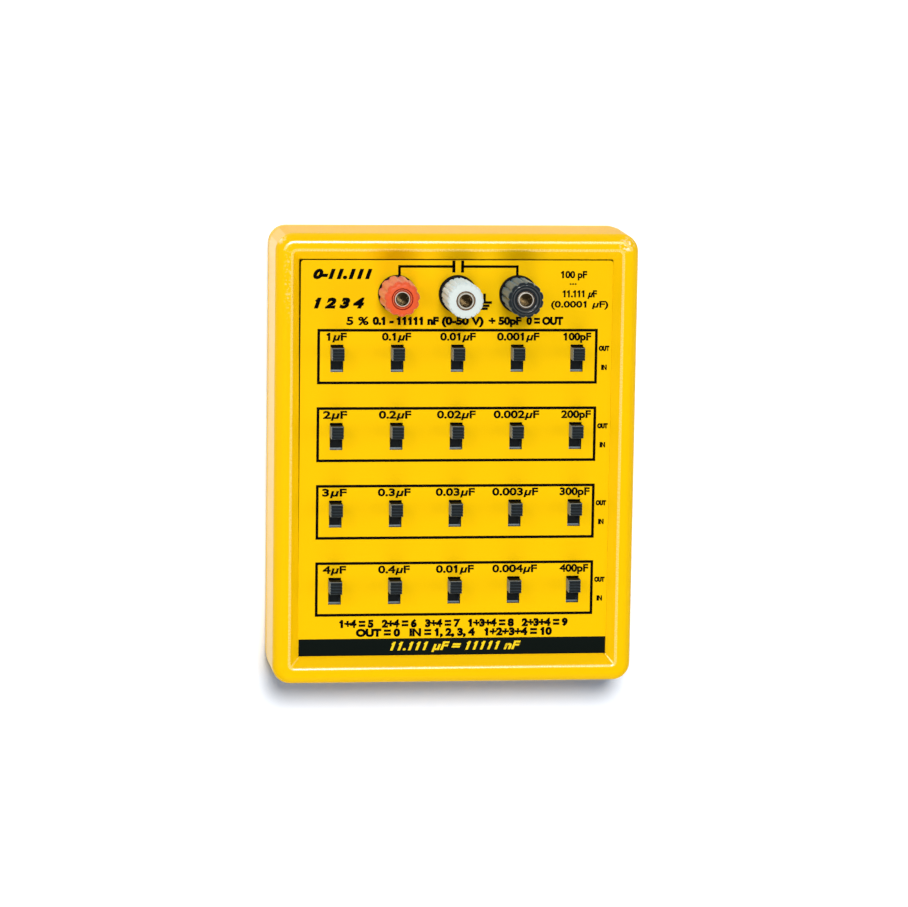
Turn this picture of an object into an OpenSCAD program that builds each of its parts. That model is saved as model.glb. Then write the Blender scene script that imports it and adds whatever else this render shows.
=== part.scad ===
// Switched capacitance decade box, lying on its back.
// +X is right, +Y is towards the binding posts, +Z is out of the front panel.
// The origin is the middle of the footprint, on the surface that the feet stand on.

/* [Case] */
// Width of the case at its parting line
case_w = 114.6; // [114:0.2:118]
// Length of the case at its parting line
case_l = 143; // [142:0.2:147]
// Height of the front rim above the table
rim_z = 35; // [34:0.5:38]
// Height of the joint between the two halves of the case
parting_z = 11; // [10:0.5:13]
// Thickness of the moulded walls
wall = 2.5; // [2:0.1:2.6]
// Radius of the case's four upright corners, in plan
corner_r = 5.7; // [5.6:0.1:6.4]
// Radius of the round edge outside the rim
edge_r = 3.54; // [3:0.02:3.6]
// Width of the flat land on the rim
rim_land = 2.5; // [2.2:0.1:2.6]

/* [Front tray] */
// Depth of the tray that the panel lies in
tray_d = 2.5; // [2:0.1:3]
// Run of the sloped tray wall at the two sides
tray_run_x = 2.68; // [2.2:0.01:2.8]
// Run of the sloped tray wall at the two ends
tray_run_y = 3.14; // [2.6:0.01:3.2]
// Thickness of the metal panel
panel_t = 1.5; // [1:0.1:1.6]
// Gap all round the panel
panel_gap = 0.15; // [0.1:0.05:0.3]

/* [Switches] */
// Number of decades, one column of switches each
decades = 5; // [5:1:5]
// Number of switches in a decade
steps = 4; // [4:1:4]
// Distance between columns
column_pitch = 18.92; // [18.5:0.02:19]
// Distance between rows
row_pitch = 24.6; // [24:0.1:24.8]
// Height of the first row above the panel's middle
first_row_y = 32.05; // [31.5:0.05:32.5]
// Place of the middle column, right of the panel's middle
middle_column_x = 0.2; // [0:0.05:0.4]
// Width of a slot in the panel
slot_w = 4; // [4:0.1:4.4]
// Length of a slot in the panel
slot_l = 8.6; // [8.6:0.1:9]
// Travel of a slider
travel = 3.6; // [3:0.1:3.6]
// Width of a slider's knob
knob_w = 3.7; // [3.4:0.1:3.7]
// Length of a slider's knob
knob_l = 4.2; // [3.8:0.1:4.2]
// Height of a slider's knob above the panel
knob_h = 5; // [4:0.5:6]
// Number of grip ridges across a knob
ridges = 5; // [4:1:7]

/* [Binding posts] */
// Distance between neighbouring posts
post_pitch = 19.05; // [19.05:0.05:19.1]
// Height of the row of posts above the panel's middle
post_y = 52.3; // [52:0.1:52.6]
// Diameter of the plug socket in a post
socket_d = 4; // [4:0.05:4.05]
// Depth of the plug socket
socket_depth = 10.6; // [10:0.1:11]
// Height of the red post above the panel
red_post_h = 15.7; // [15:0.1:21]
// Height of the white post above the panel
white_post_h = 20.7; // [15:0.1:21]
// Height of the black post above the panel
black_post_h = 18.2; // [15:0.1:21]
// Diameter of a cap
cap_d = 11.1; // [11:0.1:11.8]
// Flutes on the red cap
red_flutes = 11; // [10:1:14]
// Flutes on the white cap
white_flutes = 18; // [16:1:24]
// Flutes on the black cap
black_flutes = 12; // [10:1:14]

/* [Feet and fasteners] */
// Diameter of a foot
foot_d = 12; // [10:0.5:13]
// How far a foot stands proud of the case
foot_proud = 1.5; // [1.5:0.1:2]
// Distance of the case screws from the middle, across the case
screw_x = 49; // [48:0.5:49]
// Distance of the case screws from the middle, along the case
screw_y = 63; // [62.5:0.5:63]

/* [Hidden] */
DECADE_NAMES = [
    ["1uF", "2uF", "3uF", "4uF"],
    ["100nF", "200nF", "300nF", "400nF"],
    ["10nF", "20nF", "30nF", "40nF"],
    ["1nF", "2nF", "3nF", "4nF"],
    ["100pF", "200pF", "300pF", "400pF"]
];
SLIDER_NODES = [for (d = DECADE_NAMES) for (n = d) str("slider_", n)];

$fn = 64;

// Colours
yellow = "#ffc80a";
steel = "#b9bcc0";
brass = "#c9a24a";
black = "#23272a";
red = "#e8512f";
white = "#e6e8e4";

// Case heights and outlines
draft = 0.25;
crease_angle = 15;
edge_run = edge_r * (1 - sin(crease_angle));
edge_rise = edge_r * cos(crease_angle);
panel_z = rim_z - tray_d;
panel_back = panel_z - panel_t;
ledge_t = 2.2;
ceiling_z = panel_back - ledge_t;
case_base = foot_proud;
floor_top = case_base + wall;
rim_inset = draft + edge_run + rim_land;
pocket_w = case_w - 2 * (rim_inset + tray_run_x);
pocket_l = case_l - 2 * (rim_inset + tray_run_y);
window_w = pocket_w - 6.1;
window_l = pocket_l - 8;
joint_gap = 0.15;
tongue_h = 1.8;
tongue_t = wall / 2 - joint_gap;
groove_ceiling = rim_z - wall;

// Switch heights, measured down from the back of the panel
shell_w = 7.6;
shell_l = 16.4;
shell_h = 5.2;
shell_t = 0.4;
shell_bottom = panel_back - shell_h;
window_top_y = 4.4;
window_low_y = -3.75;
knob_rest_y = slot_l / 2 - 0.15 - knob_l / 2;
knob_edge = 0.3;
carrier_w = 6;
carrier_l = 11.3;
carrier_top = panel_back - shell_t - 0.05;
carrier_t = 1.6;
base_t = 1.4;
base_top = shell_bottom + base_t;
contact_head_h = 0.4;
contact_gap = 0.15;
terminal_pitch = 4.2;
terminal_w = 0.9;
terminal_t = 0.5;

// Circuit board
board_t = 1.6;
board_top = shell_bottom - 0.8;
board_bottom = board_top - board_t;
board_w = 104;
board_high_y = 44;
board_low_y = -58;
board_screw_x = 50.2;
board_screw_ys = [38, -52];
board_screw_r = 1.1;
lead_r = 0.4;
capacitor_top = board_bottom - 1.8;

// Fasteners
case_screw_r = 1.3;
case_screw_head_r = 2.9;
case_screw_head_h = 2.2;
counterbore_r = 3.3;
head_seat_z = case_base + 5;
foot_x = 42;
foot_y = 52;
foot_sink = 0.8;

// Binding posts
post_xs = [-post_pitch, 0, post_pitch];
post_tops = [panel_z + red_post_h, panel_z + white_post_h, panel_z + black_post_h];
panel_hole_r = 4;
stud_r = 2;
tube_r = socket_d / 2 + 0.6;
washer_r = 5.95;
washer_top = panel_z + 1.4;
flange_r = 4.4;
flange_top = washer_top + 0.8;
stud_below_top = 0.2;
stud_low = panel_back - 9.5;
wire_hole_r = 1;
run_gap = 0.05;
insert_r = 3.3;
insert_low = flange_top + 0.1;
insert_below_top = 0.8;
cap_low = washer_top + 0.1;
lower_washer_t = 1.5;
nut_r = 4.04;
nut_t = 3;
lug_t = 0.5;
lock_nut_t = 2.5;
nut_top = panel_back - lower_washer_t;
lug_top = nut_top - nut_t;
lead_wire_r = 0.8;

function column_x(i) = middle_column_x + (i - (decades - 1) / 2) * column_pitch;
function row_y(j) = first_row_y - j * row_pitch;

// Plan outlines

module rounded_rect(w, l, r) {
    square([w - 2 * r, l], center = true);
    square([w, l - 2 * r], center = true);
    for (x = [-1, 1], y = [-1, 1])
        translate([x * (w / 2 - r), y * (l / 2 - r)]) circle(r = r);
}

module four_corners(x, y) {
    for (i = [0:3])
        translate([(i == 0 || i == 3 ? 1 : -1) * x, (i < 2 ? 1 : -1) * y, 0])
            rotate([0, 0, 90 * i]) children();
}

// A block whose edge section, drawn outwards from the corner axis, runs all round the case
module swept_block(w, l, r, low, high) {
    x = w / 2 - r;
    y = l / 2 - r;
    translate([-x, -y, low]) cube([2 * x, 2 * y, high - low]);
    for (turn = [0, 180]) {
        rotate([0, 0, turn]) translate([x, y, 0])
            rotate([90, 0, 0]) linear_extrude(2 * y) children();
        rotate([0, 0, turn + 90]) translate([y, x, 0])
            rotate([90, 0, 0]) linear_extrude(2 * x) children();
    }
    four_corners(x, y) rotate_extrude(angle = 90) children();
}

module at_switches() {
    for (i = [0:decades - 1], j = [0:steps - 1])
        translate([column_x(i), row_y(j), 0]) children();
}

module at_posts() {
    for (x = post_xs) translate([x, post_y, 0]) children();
}

// Case

module front_edge_section() {
    tangent_z = rim_z - edge_rise;
    arc_x = corner_r - draft - edge_r;
    polygon([
        [0, parting_z], [corner_r - 0.25, parting_z], [corner_r, parting_z + 0.25],
        [corner_r - draft, tangent_z], [0, tangent_z]
    ]);
    translate([0, tangent_z]) square([arc_x, edge_rise]);
    intersection() {
        translate([arc_x, tangent_z]) circle(r = edge_r);
        translate([arc_x, tangent_z]) square([edge_r, edge_rise]);
    }
}

// The sloped tray, whose foot stands a hair outside the panel's pocket
module tray_cut() {
    over = 0.5;
    grow = 1 + over / tray_d;
    top_r = 1.3;
    foot_r = 1;
    foot_out = 0.1;
    hull() {
        for (x = [-1, 1], y = [-1, 1]) {
            translate([
                x * (pocket_w / 2 + foot_out - foot_r),
                y * (pocket_l / 2 + foot_out - foot_r),
                panel_z
            ]) cylinder(r = foot_r, h = 0.01, $fn = 32);
            translate([
                x * (pocket_w / 2 + tray_run_x * grow - top_r),
                y * (pocket_l / 2 + tray_run_y * grow - top_r),
                rim_z + over
            ]) cylinder(r = top_r, h = 0.01, $fn = 32);
        }
    }
}

module case_cavity(inset, low, high) {
    translate([0, 0, low]) linear_extrude(high - low)
        rounded_rect(case_w - 2 * inset, case_l - 2 * inset, corner_r - inset + 0.3);
}

module front_case() {
    color(yellow) difference() {
        union() {
            difference() {
                swept_block(case_w, case_l, corner_r, parting_z, rim_z) front_edge_section();
                tray_cut();
                translate([0, 0, panel_back]) linear_extrude(panel_t + 0.5)
                    rounded_rect(pocket_w, pocket_l, 1);
                translate([0, 0, ceiling_z - 1]) linear_extrude(ledge_t + 2)
                    rounded_rect(window_w, window_l, 3);
                case_cavity(wall, parting_z - 1, ceiling_z);
                case_cavity(tongue_t, parting_z - 1, parting_z + tongue_h + 0.2);
                rim_core();
            }
            for (x = [-1, 1], y = [-1, 1])
                translate([x * screw_x, y * screw_y, parting_z]) front_boss(x, y);
            for (x = [-1, 1], y = board_screw_ys)
                translate([x * board_screw_x, y, board_top])
                    cylinder(r = 3.2, h = ceiling_z - board_top + 0.1);
        }
        for (x = [-1, 1], y = [-1, 1])
            translate([x * screw_x, y * screw_y, parting_z - 1])
                cylinder(r = case_screw_r, h = 12);
        for (x = [-1, 1], y = board_screw_ys)
            translate([x * board_screw_x, y, board_top - 1])
                cylinder(r = board_screw_r, h = 6);
    }
}

// The channel that cores out the thick rim from behind
module rim_core() {
    core_out = wall;
    core_in = rim_inset + tray_run_x - 2.4;
    translate([0, 0, ceiling_z - 0.1]) linear_extrude(groove_ceiling - ceiling_z + 0.1)
        difference() {
            rounded_rect(case_w - 2 * core_out, case_l - 2 * core_out, 3.5);
            rounded_rect(case_w - 2 * core_in, case_l - 2 * core_in, 2);
        }
}

// A screw boss with two ribs that tie it to the walls of the corner
module front_boss(x_side, y_side) {
    boss_h = ceiling_z - parting_z + 0.1;
    rib_t = 1.6;
    rib_h = boss_h - 4;
    cylinder(r = 3.7, h = boss_h);
    translate([x_side > 0 ? 0 : -case_w / 2 + screw_x + 1, -rib_t / 2, 4])
        cube([case_w / 2 - screw_x - 1, rib_t, rib_h]);
    translate([-rib_t / 2, y_side > 0 ? 0 : -case_l / 2 + screw_y + 1, 4])
        cube([rib_t, case_l / 2 - screw_y - 1, rib_h]);
}

module rear_edge_section() {
    round_r = 2;
    foot_x = corner_r - draft;
    polygon([
        [0, case_base], [foot_x - round_r, case_base], [foot_x - round_r, case_base + round_r],
        [foot_x, case_base + round_r], [corner_r, parting_z - 0.25],
        [corner_r - 0.25, parting_z], [0, parting_z]
    ]);
    translate([foot_x - round_r, case_base + round_r]) circle(r = round_r);
}

module tongue() {
    translate([0, 0, parting_z - 0.5]) linear_extrude(tongue_h + 0.5) difference() {
        rounded_rect(case_w - wall - joint_gap, case_l - wall - joint_gap, corner_r - 1);
        rounded_rect(case_w - 2 * wall, case_l - 2 * wall, corner_r - wall + 0.3);
    }
}

module rear_case() {
    tower_r = 4.6;
    color(yellow) difference() {
        union() {
            difference() {
                swept_block(case_w, case_l, corner_r, case_base, parting_z) rear_edge_section();
                case_cavity(wall, floor_top, parting_z + 1);
            }
            tongue();
            for (x = [-1, 1], y = [-1, 1])
                translate([x * screw_x, y * screw_y, case_base + 0.5])
                    cylinder(r = tower_r, h = parting_z - case_base - 0.5);
            rear_ribs();
        }
        for (x = [-1, 1], y = [-1, 1]) {
            translate([x * screw_x, y * screw_y, case_base - 1]) {
                cylinder(r = counterbore_r, h = head_seat_z - case_base + 1);
                cylinder(r = case_screw_r + 0.4, h = parting_z);
            }
            translate([x * foot_x, y * foot_y, case_base - 1])
                cylinder(r = foot_d / 2 + 0.1, h = 1 + foot_sink);
        }
    }
}

// Low stiffening ribs that cross the floor
module rear_ribs() {
    rib_t = 1.4;
    rib_h = 1.2;
    for (x = [-28, 0, 28])
        translate([x - rib_t / 2, -case_l / 2 + wall - 0.5, floor_top - 0.2])
            cube([rib_t, case_l - 2 * wall + 1, rib_h + 0.2]);
    for (y = [-36, 0, 36])
        translate([-case_w / 2 + wall - 0.5, y - rib_t / 2, floor_top - 0.2])
            cube([case_w - 2 * wall + 1, rib_t, rib_h + 0.2]);
}

module panel_plate() {
    color(yellow) translate([0, 0, panel_back]) linear_extrude(panel_t) difference() {
        rounded_rect(pocket_w - 2 * panel_gap, pocket_l - 2 * panel_gap, 0.9);
        at_switches() square([slot_w, slot_l], center = true);
        at_posts() circle(r = panel_hole_r);
    }
}

module cross_recess(r, depth) {
    for (a = [0, 90]) rotate([0, 0, a])
        translate([-r, -r * 0.17, -0.1]) cube([2 * r, r * 0.34, depth + 0.1]);
}

// A pan-head screw whose head is below its shank, seat at z = 0
module screw(head_r, head_h, shank_r, shank_l) {
    difference() {
        union() {
            rotate_extrude() polygon([
                [0, -head_h], [head_r * 0.62, -head_h], [head_r * 0.88, -head_h * 0.82],
                [head_r, -head_h * 0.45], [head_r, 0], [shank_r, 0],
                [shank_r, shank_l - shank_r], [shank_r * 0.3, shank_l], [0, shank_l]
            ]);
        }
        translate([0, 0, -head_h]) cross_recess(head_r * 0.55, head_h * 0.5);
    }
}

module case_screws() {
    color(steel) for (x = [-1, 1], y = [-1, 1])
        translate([x * screw_x, y * screw_y, head_seat_z])
            screw(case_screw_head_r, case_screw_head_h, case_screw_r, 14);
}

module rubber_feet() {
    r = foot_d / 2;
    color(black) for (x = [-1, 1], y = [-1, 1])
        translate([x * foot_x, y * foot_y, 0]) rotate_extrude() polygon([
            [0, 0], [r - 1, 0], [r - 0.3, 0.35], [r, 1],
            [r, foot_proud + foot_sink], [0, foot_proud + foot_sink]
        ]);
}

// Circuit board and switches

module terminal_pins(grow_up) {
    for (k = [-1:1])
        translate([-terminal_w / 2, k * terminal_pitch - terminal_t / 2, board_bottom - 1.4])
            cube([terminal_w, terminal_t, base_top - board_bottom + 1.4 + grow_up]);
}

module circuit_board() {
    color("#2f6b3c") difference() {
        translate([-board_w / 2, board_low_y, board_bottom])
            cube([board_w, board_high_y - board_low_y, board_t]);
        at_switches() terminal_pins(0);
        for (i = [0:decades - 1], j = [0:steps - 1])
            translate([column_x(i), row_y(j), board_bottom - 1]) capacitor_lead_pair(i, board_t + 2);
        for (x = [-1, 1], y = board_screw_ys)
            translate([x * board_screw_x, y, board_bottom - 1])
                cylinder(r = board_screw_r + 0.2, h = board_t + 2);
    }
}

module board_screws() {
    color(steel) for (x = [-1, 1], y = board_screw_ys)
        translate([x * board_screw_x, y, board_bottom]) screw(2.3, 1.6, board_screw_r, 6);
}

// Folded steel shell, open below, with a window that the knob slides in
module switch_shells() {
    color(steel) at_switches() difference() {
        translate([-shell_w / 2, -shell_l / 2, shell_bottom]) cube([shell_w, shell_l, shell_h]);
        translate([-shell_w / 2 + shell_t, -shell_l / 2 + shell_t, shell_bottom - 1])
            cube([shell_w - 2 * shell_t, shell_l - 2 * shell_t, shell_h - shell_t + 1]);
        translate([-slot_w / 2 - 0.1, window_low_y, panel_back - 1])
            cube([slot_w + 0.2, window_top_y - window_low_y, 2]);
    }
}

module switch_bases() {
    w = shell_w - 2 * shell_t;
    l = shell_l - 2 * shell_t;
    color("#6b4a2b") at_switches() difference() {
        translate([-w / 2, -l / 2, shell_bottom]) cube([w, l, base_t]);
        terminal_pins(0.1);
    }
}

module switch_terminals() {
    color(steel) at_switches() {
        terminal_pins(0.1);
        for (k = [-1:1]) translate([-1, k * terminal_pitch - 1, base_top])
            cube([2, 2, contact_head_h]);
    }
}

// A knob with softened edges all round and grip ridges across its top
module ridged_knob() {
    low = carrier_top - 0.1;
    high = panel_z + knob_h;
    x = knob_w / 2;
    y = knob_l / 2;
    pitch = (knob_l - 2 * knob_edge) / (ridges - 0.5);
    valley_d = 0.35;
    valleys = [for (k = [0:ridges - 2]) for (p = [[0.5, 0], [0.6, 1], [0.9, 1], [1, 0]])
        [-y + knob_edge + (k + p[0]) * pitch, high - p[1] * valley_d]];
    lengthwise = concat(
        [[-y, low], [-y, high - knob_edge], [-y + knob_edge, high]],
        valleys,
        [[y - knob_edge, high], [y, high - knob_edge], [y, low]]
    );
    crosswise = [
        [-x, low], [-x, high - knob_edge], [-x + knob_edge, high],
        [x - knob_edge, high], [x, high - knob_edge], [x, low]
    ];
    intersection() {
        translate([-x, 0, 0]) rotate([90, 0, 90]) linear_extrude(knob_w) polygon(lengthwise);
        translate([0, y, 0]) rotate([90, 0, 0]) linear_extrude(knob_l) polygon(crosswise);
    }
}

// Knob on a carrier that slides under the shell, with a contact bridge below it.
// A channel runs along each side of the pad that shows in the slot
module slider(i, j) {
    bridge_w = 2.6;
    bridge_l = 5.2;
    bridge_top = carrier_top - carrier_t;
    bridge_low = base_top + contact_head_h + contact_gap;
    channel_x = 1.7;
    channel_w = 0.44;
    channel_d = 0.6;
    color(black) translate([column_x(i), row_y(j) + knob_rest_y, 0]) {
        ridged_knob();
        difference() {
            translate([-carrier_w / 2, -carrier_l / 2, bridge_top])
                cube([carrier_w, carrier_l, carrier_t]);
            for (s = [-1, 1])
                translate([s * channel_x - channel_w / 2, -carrier_l / 2 - 1, carrier_top - channel_d])
                    cube([channel_w, carrier_l / 2 + 1 - knob_l / 2, channel_d + 1]);
        }
        translate([-bridge_w / 2, -bridge_l / 2, bridge_low])
            cube([bridge_w, bridge_l, bridge_top - bridge_low + 0.1]);
    }
}

// Capacitors, one kind to a decade, hanging from the back of the board

function lead_spread(i) = [10, 10, 5, 15, 5][i];

module capacitor_lead_pair(i, h) {
    for (x = [-1, 1]) translate([x * lead_spread(i) / 2, 1.9, 0]) cylinder(r = lead_r, h = h, $fn = 16);
}

module film_block(w, l, h) {
    translate([-w / 2, 1.9 - l / 2, capacitor_top - h]) {
        translate([0.5, 0.5, 0]) cube([w - 1, l - 1, h]);
        translate([0, 0.5, 0.5]) cube([w, l - 1, h - 0.5]);
        translate([0.5, 0, 0.5]) cube([w - 1, l, h - 0.5]);
    }
}

module dipped_pad(w, l, h) {
    translate([0, 1.9, capacitor_top - h / 2]) rotate([90, 0, 0]) {
        translate([0, 0, -l / 2]) linear_extrude(l) rounded_rect(w, h, 2);
        translate([0, 0, -l / 2 - 0.4]) linear_extrude(l + 0.8) rounded_rect(w - 1.2, h - 1.2, 1.6);
    }
}

module foil_tube(r, l) {
    translate([0, 1.9, capacitor_top - r]) rotate([0, 90, 0]) {
        rotate_extrude() polygon([
            [0, -l / 2], [r - 1, -l / 2], [r, -l / 2 + 1], [r, l / 2 - 1], [r - 1, l / 2], [0, l / 2]
        ]);
        for (s = [-1, 1]) translate([0, 0, s * (l / 2 + 1)])
            cylinder(r = lead_r, h = 2.8, center = true, $fn = 16);
    }
    for (s = [-1, 1]) translate([s * 7.5, 1.9, capacitor_top - r])
        sphere(r = lead_r, $fn = 16);
}

module ceramic_disc(r, t) {
    translate([0, 1.9, capacitor_top - r]) rotate([90, 0, 0]) {
        cylinder(r = r, h = t, center = true);
        cylinder(r = r - 0.7, h = t + 0.8, center = true);
    }
}

module capacitor(i, j) {
    lead_low = i == 3 ? capacitor_top - 2.8 : capacitor_top - 1.2;
    translate([column_x(i), row_y(j), 0]) {
        if (i == 0) film_block(15.5 + 0.5 * j, 8.5 + j, 14 + 0.5 * j);
        if (i == 1) film_block(12.5 + 0.4 * j, 5 + 0.7 * j, 10.5 + 0.5 * j);
        if (i == 2) dipped_pad(8 + 0.6 * j, 3 + 0.3 * j, 8 + 0.6 * j);
        if (i == 3) foil_tube(2.8, 11.5 + 0.4 * j);
        if (i == 4) ceramic_disc(3.6 + 0.3 * j, 2);
        translate([0, 0, lead_low]) capacitor_lead_pair(i, board_top + 0.5 - lead_low);
    }
}

module capacitors(i, tint) {
    color(tint) for (j = [0:steps - 1]) capacitor(i, j);
}

// Binding posts

module upper_washers() {
    color(black) at_posts() rotate_extrude() polygon([
        [stud_r + 0.05, panel_back], [panel_hole_r - 0.05, panel_back],
        [panel_hole_r - 0.05, panel_z], [washer_r, panel_z], [washer_r, washer_top - 0.3],
        [washer_r - 0.3, washer_top], [stud_r + 0.05, washer_top]
    ]);
}

module lower_washers() {
    color(black) at_posts() translate([0, 0, nut_top]) difference() {
        cylinder(r = 5.5, h = lower_washer_t);
        translate([0, 0, -1]) cylinder(r = stud_r + 0.05, h = lower_washer_t + 2);
    }
}

module hex_nut(top, t) {
    translate([0, 0, top - t]) difference() {
        intersection() {
            cylinder(r = nut_r, h = t, $fn = 6);
            rotate_extrude() polygon([
                [0, 0], [nut_r - 0.5, 0], [nut_r, 0.35], [nut_r, t - 0.35], [nut_r - 0.5, t], [0, t]
            ]);
        }
        translate([0, 0, -1]) cylinder(r = stud_r, h = t + 2);
    }
}

module post_nuts() {
    color(brass) at_posts() hex_nut(nut_top, nut_t);
}

module lock_nuts() {
    color(brass) at_posts() hex_nut(lug_top - lug_t, lock_nut_t);
}

module solder_lugs() {
    color(steel) at_posts() translate([0, 0, lug_top - lug_t]) linear_extrude(lug_t) difference() {
        union() {
            circle(r = 3.6);
            translate([-1.5, -7]) square([3, 6]);
            translate([0, -7]) circle(r = 1.5);
        }
        circle(r = stud_r);
    }
}

// Threaded rod, clamping flange and socket tube in one turned piece
module stud(k) {
    top = post_tops[k] - stud_below_top;
    edge = 0.3;
    color(steel) translate([post_xs[k], post_y, 0]) difference() {
        rotate_extrude() polygon([
            [0, stud_low], [stud_r - 0.5, stud_low], [stud_r, stud_low + 0.5],
            [stud_r, washer_top], [flange_r, washer_top], [flange_r, flange_top],
            [tube_r, flange_top], [tube_r, top - edge], [tube_r - edge, top], [0, top]
        ]);
        translate([0, 0, top - socket_depth])
            cylinder(r = socket_d / 2, h = socket_depth + 1);
        translate([0, 0, flange_top + wire_hole_r + 0.2]) rotate([0, 90, 0])
            cylinder(r = wire_hole_r, h = 4 * tube_r, center = true);
    }
}

module insert(k) {
    h = post_tops[k] - insert_below_top - insert_low;
    color(brass) translate([post_xs[k], post_y, insert_low]) difference() {
        cylinder(r = insert_r, h = h);
        translate([0, 0, -1]) cylinder(r = tube_r + run_gap, h = h + 2);
    }
}

// Fluted insulating cap. The collar leaves a plain band below the flutes, the lip covers the
// insert's end, the groove runs round the lip and the dish sinks the face
module cap(k, tint, flutes, flute_r, flute_d, collar, lip, groove, dish) {
    r = cap_d / 2;
    bore = insert_r + run_gap;
    lip_r = tube_r + 0.15;
    round_r = 0.9;
    h = post_tops[k] - cap_low;
    lip_low = h - insert_below_top + run_gap;
    seat_r = flange_r + 0.35;
    seat_h = flange_top - cap_low + 0.2;
    color(tint) translate([post_xs[k], post_y, cap_low]) difference() {
        rotate_extrude() difference() {
            union() {
                square([r, h - round_r]);
                square([r - round_r, h]);
                translate([r - round_r, h - round_r]) circle(r = round_r);
                if (collar > 0) square([r + 0.15, collar]);
            }
            translate([0, -1]) square([bore, lip ? lip_low + 1 : h + 2]);
            translate([0, -1]) square([lip_r, h + 2]);
            translate([0, -1]) square([seat_r, seat_h + 1]);
            if (groove > 0) translate([bore - 0.2, h - groove]) square([0.15, groove + 1]);
            if (dish > 0) polygon([[0, h - dish], [bore + 0.5, h - dish], [r - 0.9, h], [0, h + 1]]);
        }
        for (n = [0:flutes - 1]) rotate([0, 0, 360 / flutes * n])
            translate([r - flute_d + flute_r, 0, collar > 0 ? collar : -1])
                cylinder(r = flute_r, h = h + 2, $fn = 24);
    }
}

// Internal wiring

function blend(a, b, c, d, t) =
    0.5 * (2 * b + (c - a) * t + (2 * a - 5 * b + 4 * c - d) * t * t + (3 * b - a - 3 * c + d) * t * t * t);
function curve(p, n) = [
    for (i = [0:len(p) - 2]) for (k = [0:n - 1])
        blend(p[max(i - 1, 0)], p[i], p[i + 1], p[min(i + 2, len(p) - 1)], k / n),
    p[len(p) - 1]
];
function unit(v) = v / norm(v);

module tube(path, r, sides) {
    last = len(path) - 1;
    rings = [for (i = [0:last])
        let (
            along = i == 0 || i == last ? [0, 0, i == 0 ? -1 : 1]
                : unit(path[i + 1] - path[i - 1]),
            across = unit(cross(along, [0.9, 0.3, 0.1])),
            over = cross(along, across)
        )
        for (s = [0:sides - 1])
            path[i] + r * (cos(360 / sides * s) * across + sin(360 / sides * s) * over)
    ];
    walls = [for (i = [0:last - 1]) for (s = [0:sides - 1])
        let (a = i * sides + s, b = i * sides + (s + 1) % sides)
        for (f = [[a, a + sides, b], [b, a + sides, b + sides]]) f];
    low_end = [for (s = [1:sides - 2]) [0, s, s + 1]];
    high_end = [for (s = [1:sides - 2]) [last * sides, last * sides + s + 1, last * sides + s]];
    polyhedron(points = rings, faces = concat(walls, low_end, high_end), convexity = 4);
}

// Insulated wire from under a post's solder lug, in a slack loop, to the back of the board
module lead(k, tint, side) {
    x = post_xs[k];
    start_z = lug_top - lug_t;
    route = [
        [x, post_y - 7, start_z],
        [x, post_y - 7, start_z - 3],
        [x + side * 1.5, post_y - 8, start_z - 6.5],
        [x + side * 3.5, post_y - 10, start_z - 7.5],
        [x + side * 5, post_y - 11.3, start_z - 6],
        [x + side * 5, post_y - 11.3, board_bottom]
    ];
    color(tint) tube(curve(route, 4), lead_wire_r, 8);
}

front_case();
rear_case();
panel_plate();
case_screws();
rubber_feet();
circuit_board();
board_screws();
switch_shells();
switch_bases();
switch_terminals();
for (i = [0:decades - 1], j = [0:steps - 1])
    slider(i, j);
capacitors(0, "#c7c9c4");  // capacitors_1uF
capacitors(1, "#d8b23a");  // capacitors_100nF
capacitors(2, "#3f7d46");  // capacitors_10nF
capacitors(3, "#d9dde0");  // capacitors_1nF
capacitors(4, "#a9713c");  // capacitors_100pF
upper_washers();
lower_washers();
post_nuts();
lock_nuts();
solder_lugs();
stud(0);  // red_stud
stud(1);  // white_stud
stud(2);  // black_stud
insert(0);  // red_insert
insert(1);  // white_insert
insert(2);  // black_insert
cap(0, red, red_flutes, 0.9, 0.45, 0, true, 0.4, 0);  // red_cap
cap(1, white, white_flutes, 0.6, 0.3, 1.1, false, 0, 0);  // white_cap
cap(2, black, black_flutes, 0.9, 0.45, 0, true, 0, 0.4);  // black_cap
lead(0, red, 1);  // red_lead
lead(1, white, 1);  // white_lead
lead(2, black, -1);  // black_lead
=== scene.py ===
# %% [markdown]
# # A capacitance decade box, dressed for its portrait
#
# The object is a yellow hand-size box. It lies on its back with twenty slide switches and three
# binding posts on its front. The construction is finished before this lesson starts: the frame
# holds every solid at its real place. Here the solids get their finishes, and the pieces that the
# eye goes to first are modelled again with soft edges, printed marks and moulded flutes.

import math

import bmesh
import bpy
from mathutils import Matrix, Vector


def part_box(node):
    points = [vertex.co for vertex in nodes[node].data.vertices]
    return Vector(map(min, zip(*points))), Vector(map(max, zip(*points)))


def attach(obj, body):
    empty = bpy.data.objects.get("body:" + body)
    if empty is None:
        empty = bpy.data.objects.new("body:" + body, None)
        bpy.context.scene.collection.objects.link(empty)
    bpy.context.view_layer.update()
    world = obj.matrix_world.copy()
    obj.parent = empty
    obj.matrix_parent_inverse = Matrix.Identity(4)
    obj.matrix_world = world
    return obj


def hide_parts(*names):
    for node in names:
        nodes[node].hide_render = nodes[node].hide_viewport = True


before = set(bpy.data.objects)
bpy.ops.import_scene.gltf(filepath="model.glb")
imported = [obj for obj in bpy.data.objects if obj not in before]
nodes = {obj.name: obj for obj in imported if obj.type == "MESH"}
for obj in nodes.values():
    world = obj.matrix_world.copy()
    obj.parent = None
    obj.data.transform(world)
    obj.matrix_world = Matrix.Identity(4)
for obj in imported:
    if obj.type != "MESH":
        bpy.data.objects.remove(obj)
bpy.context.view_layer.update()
MM = 0.001

# %% [markdown]
# The sizes that the scene needs come from the frame itself. The panel's top face is the plane
# that all the printing lies on, so its height is named once and used everywhere.

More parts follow.
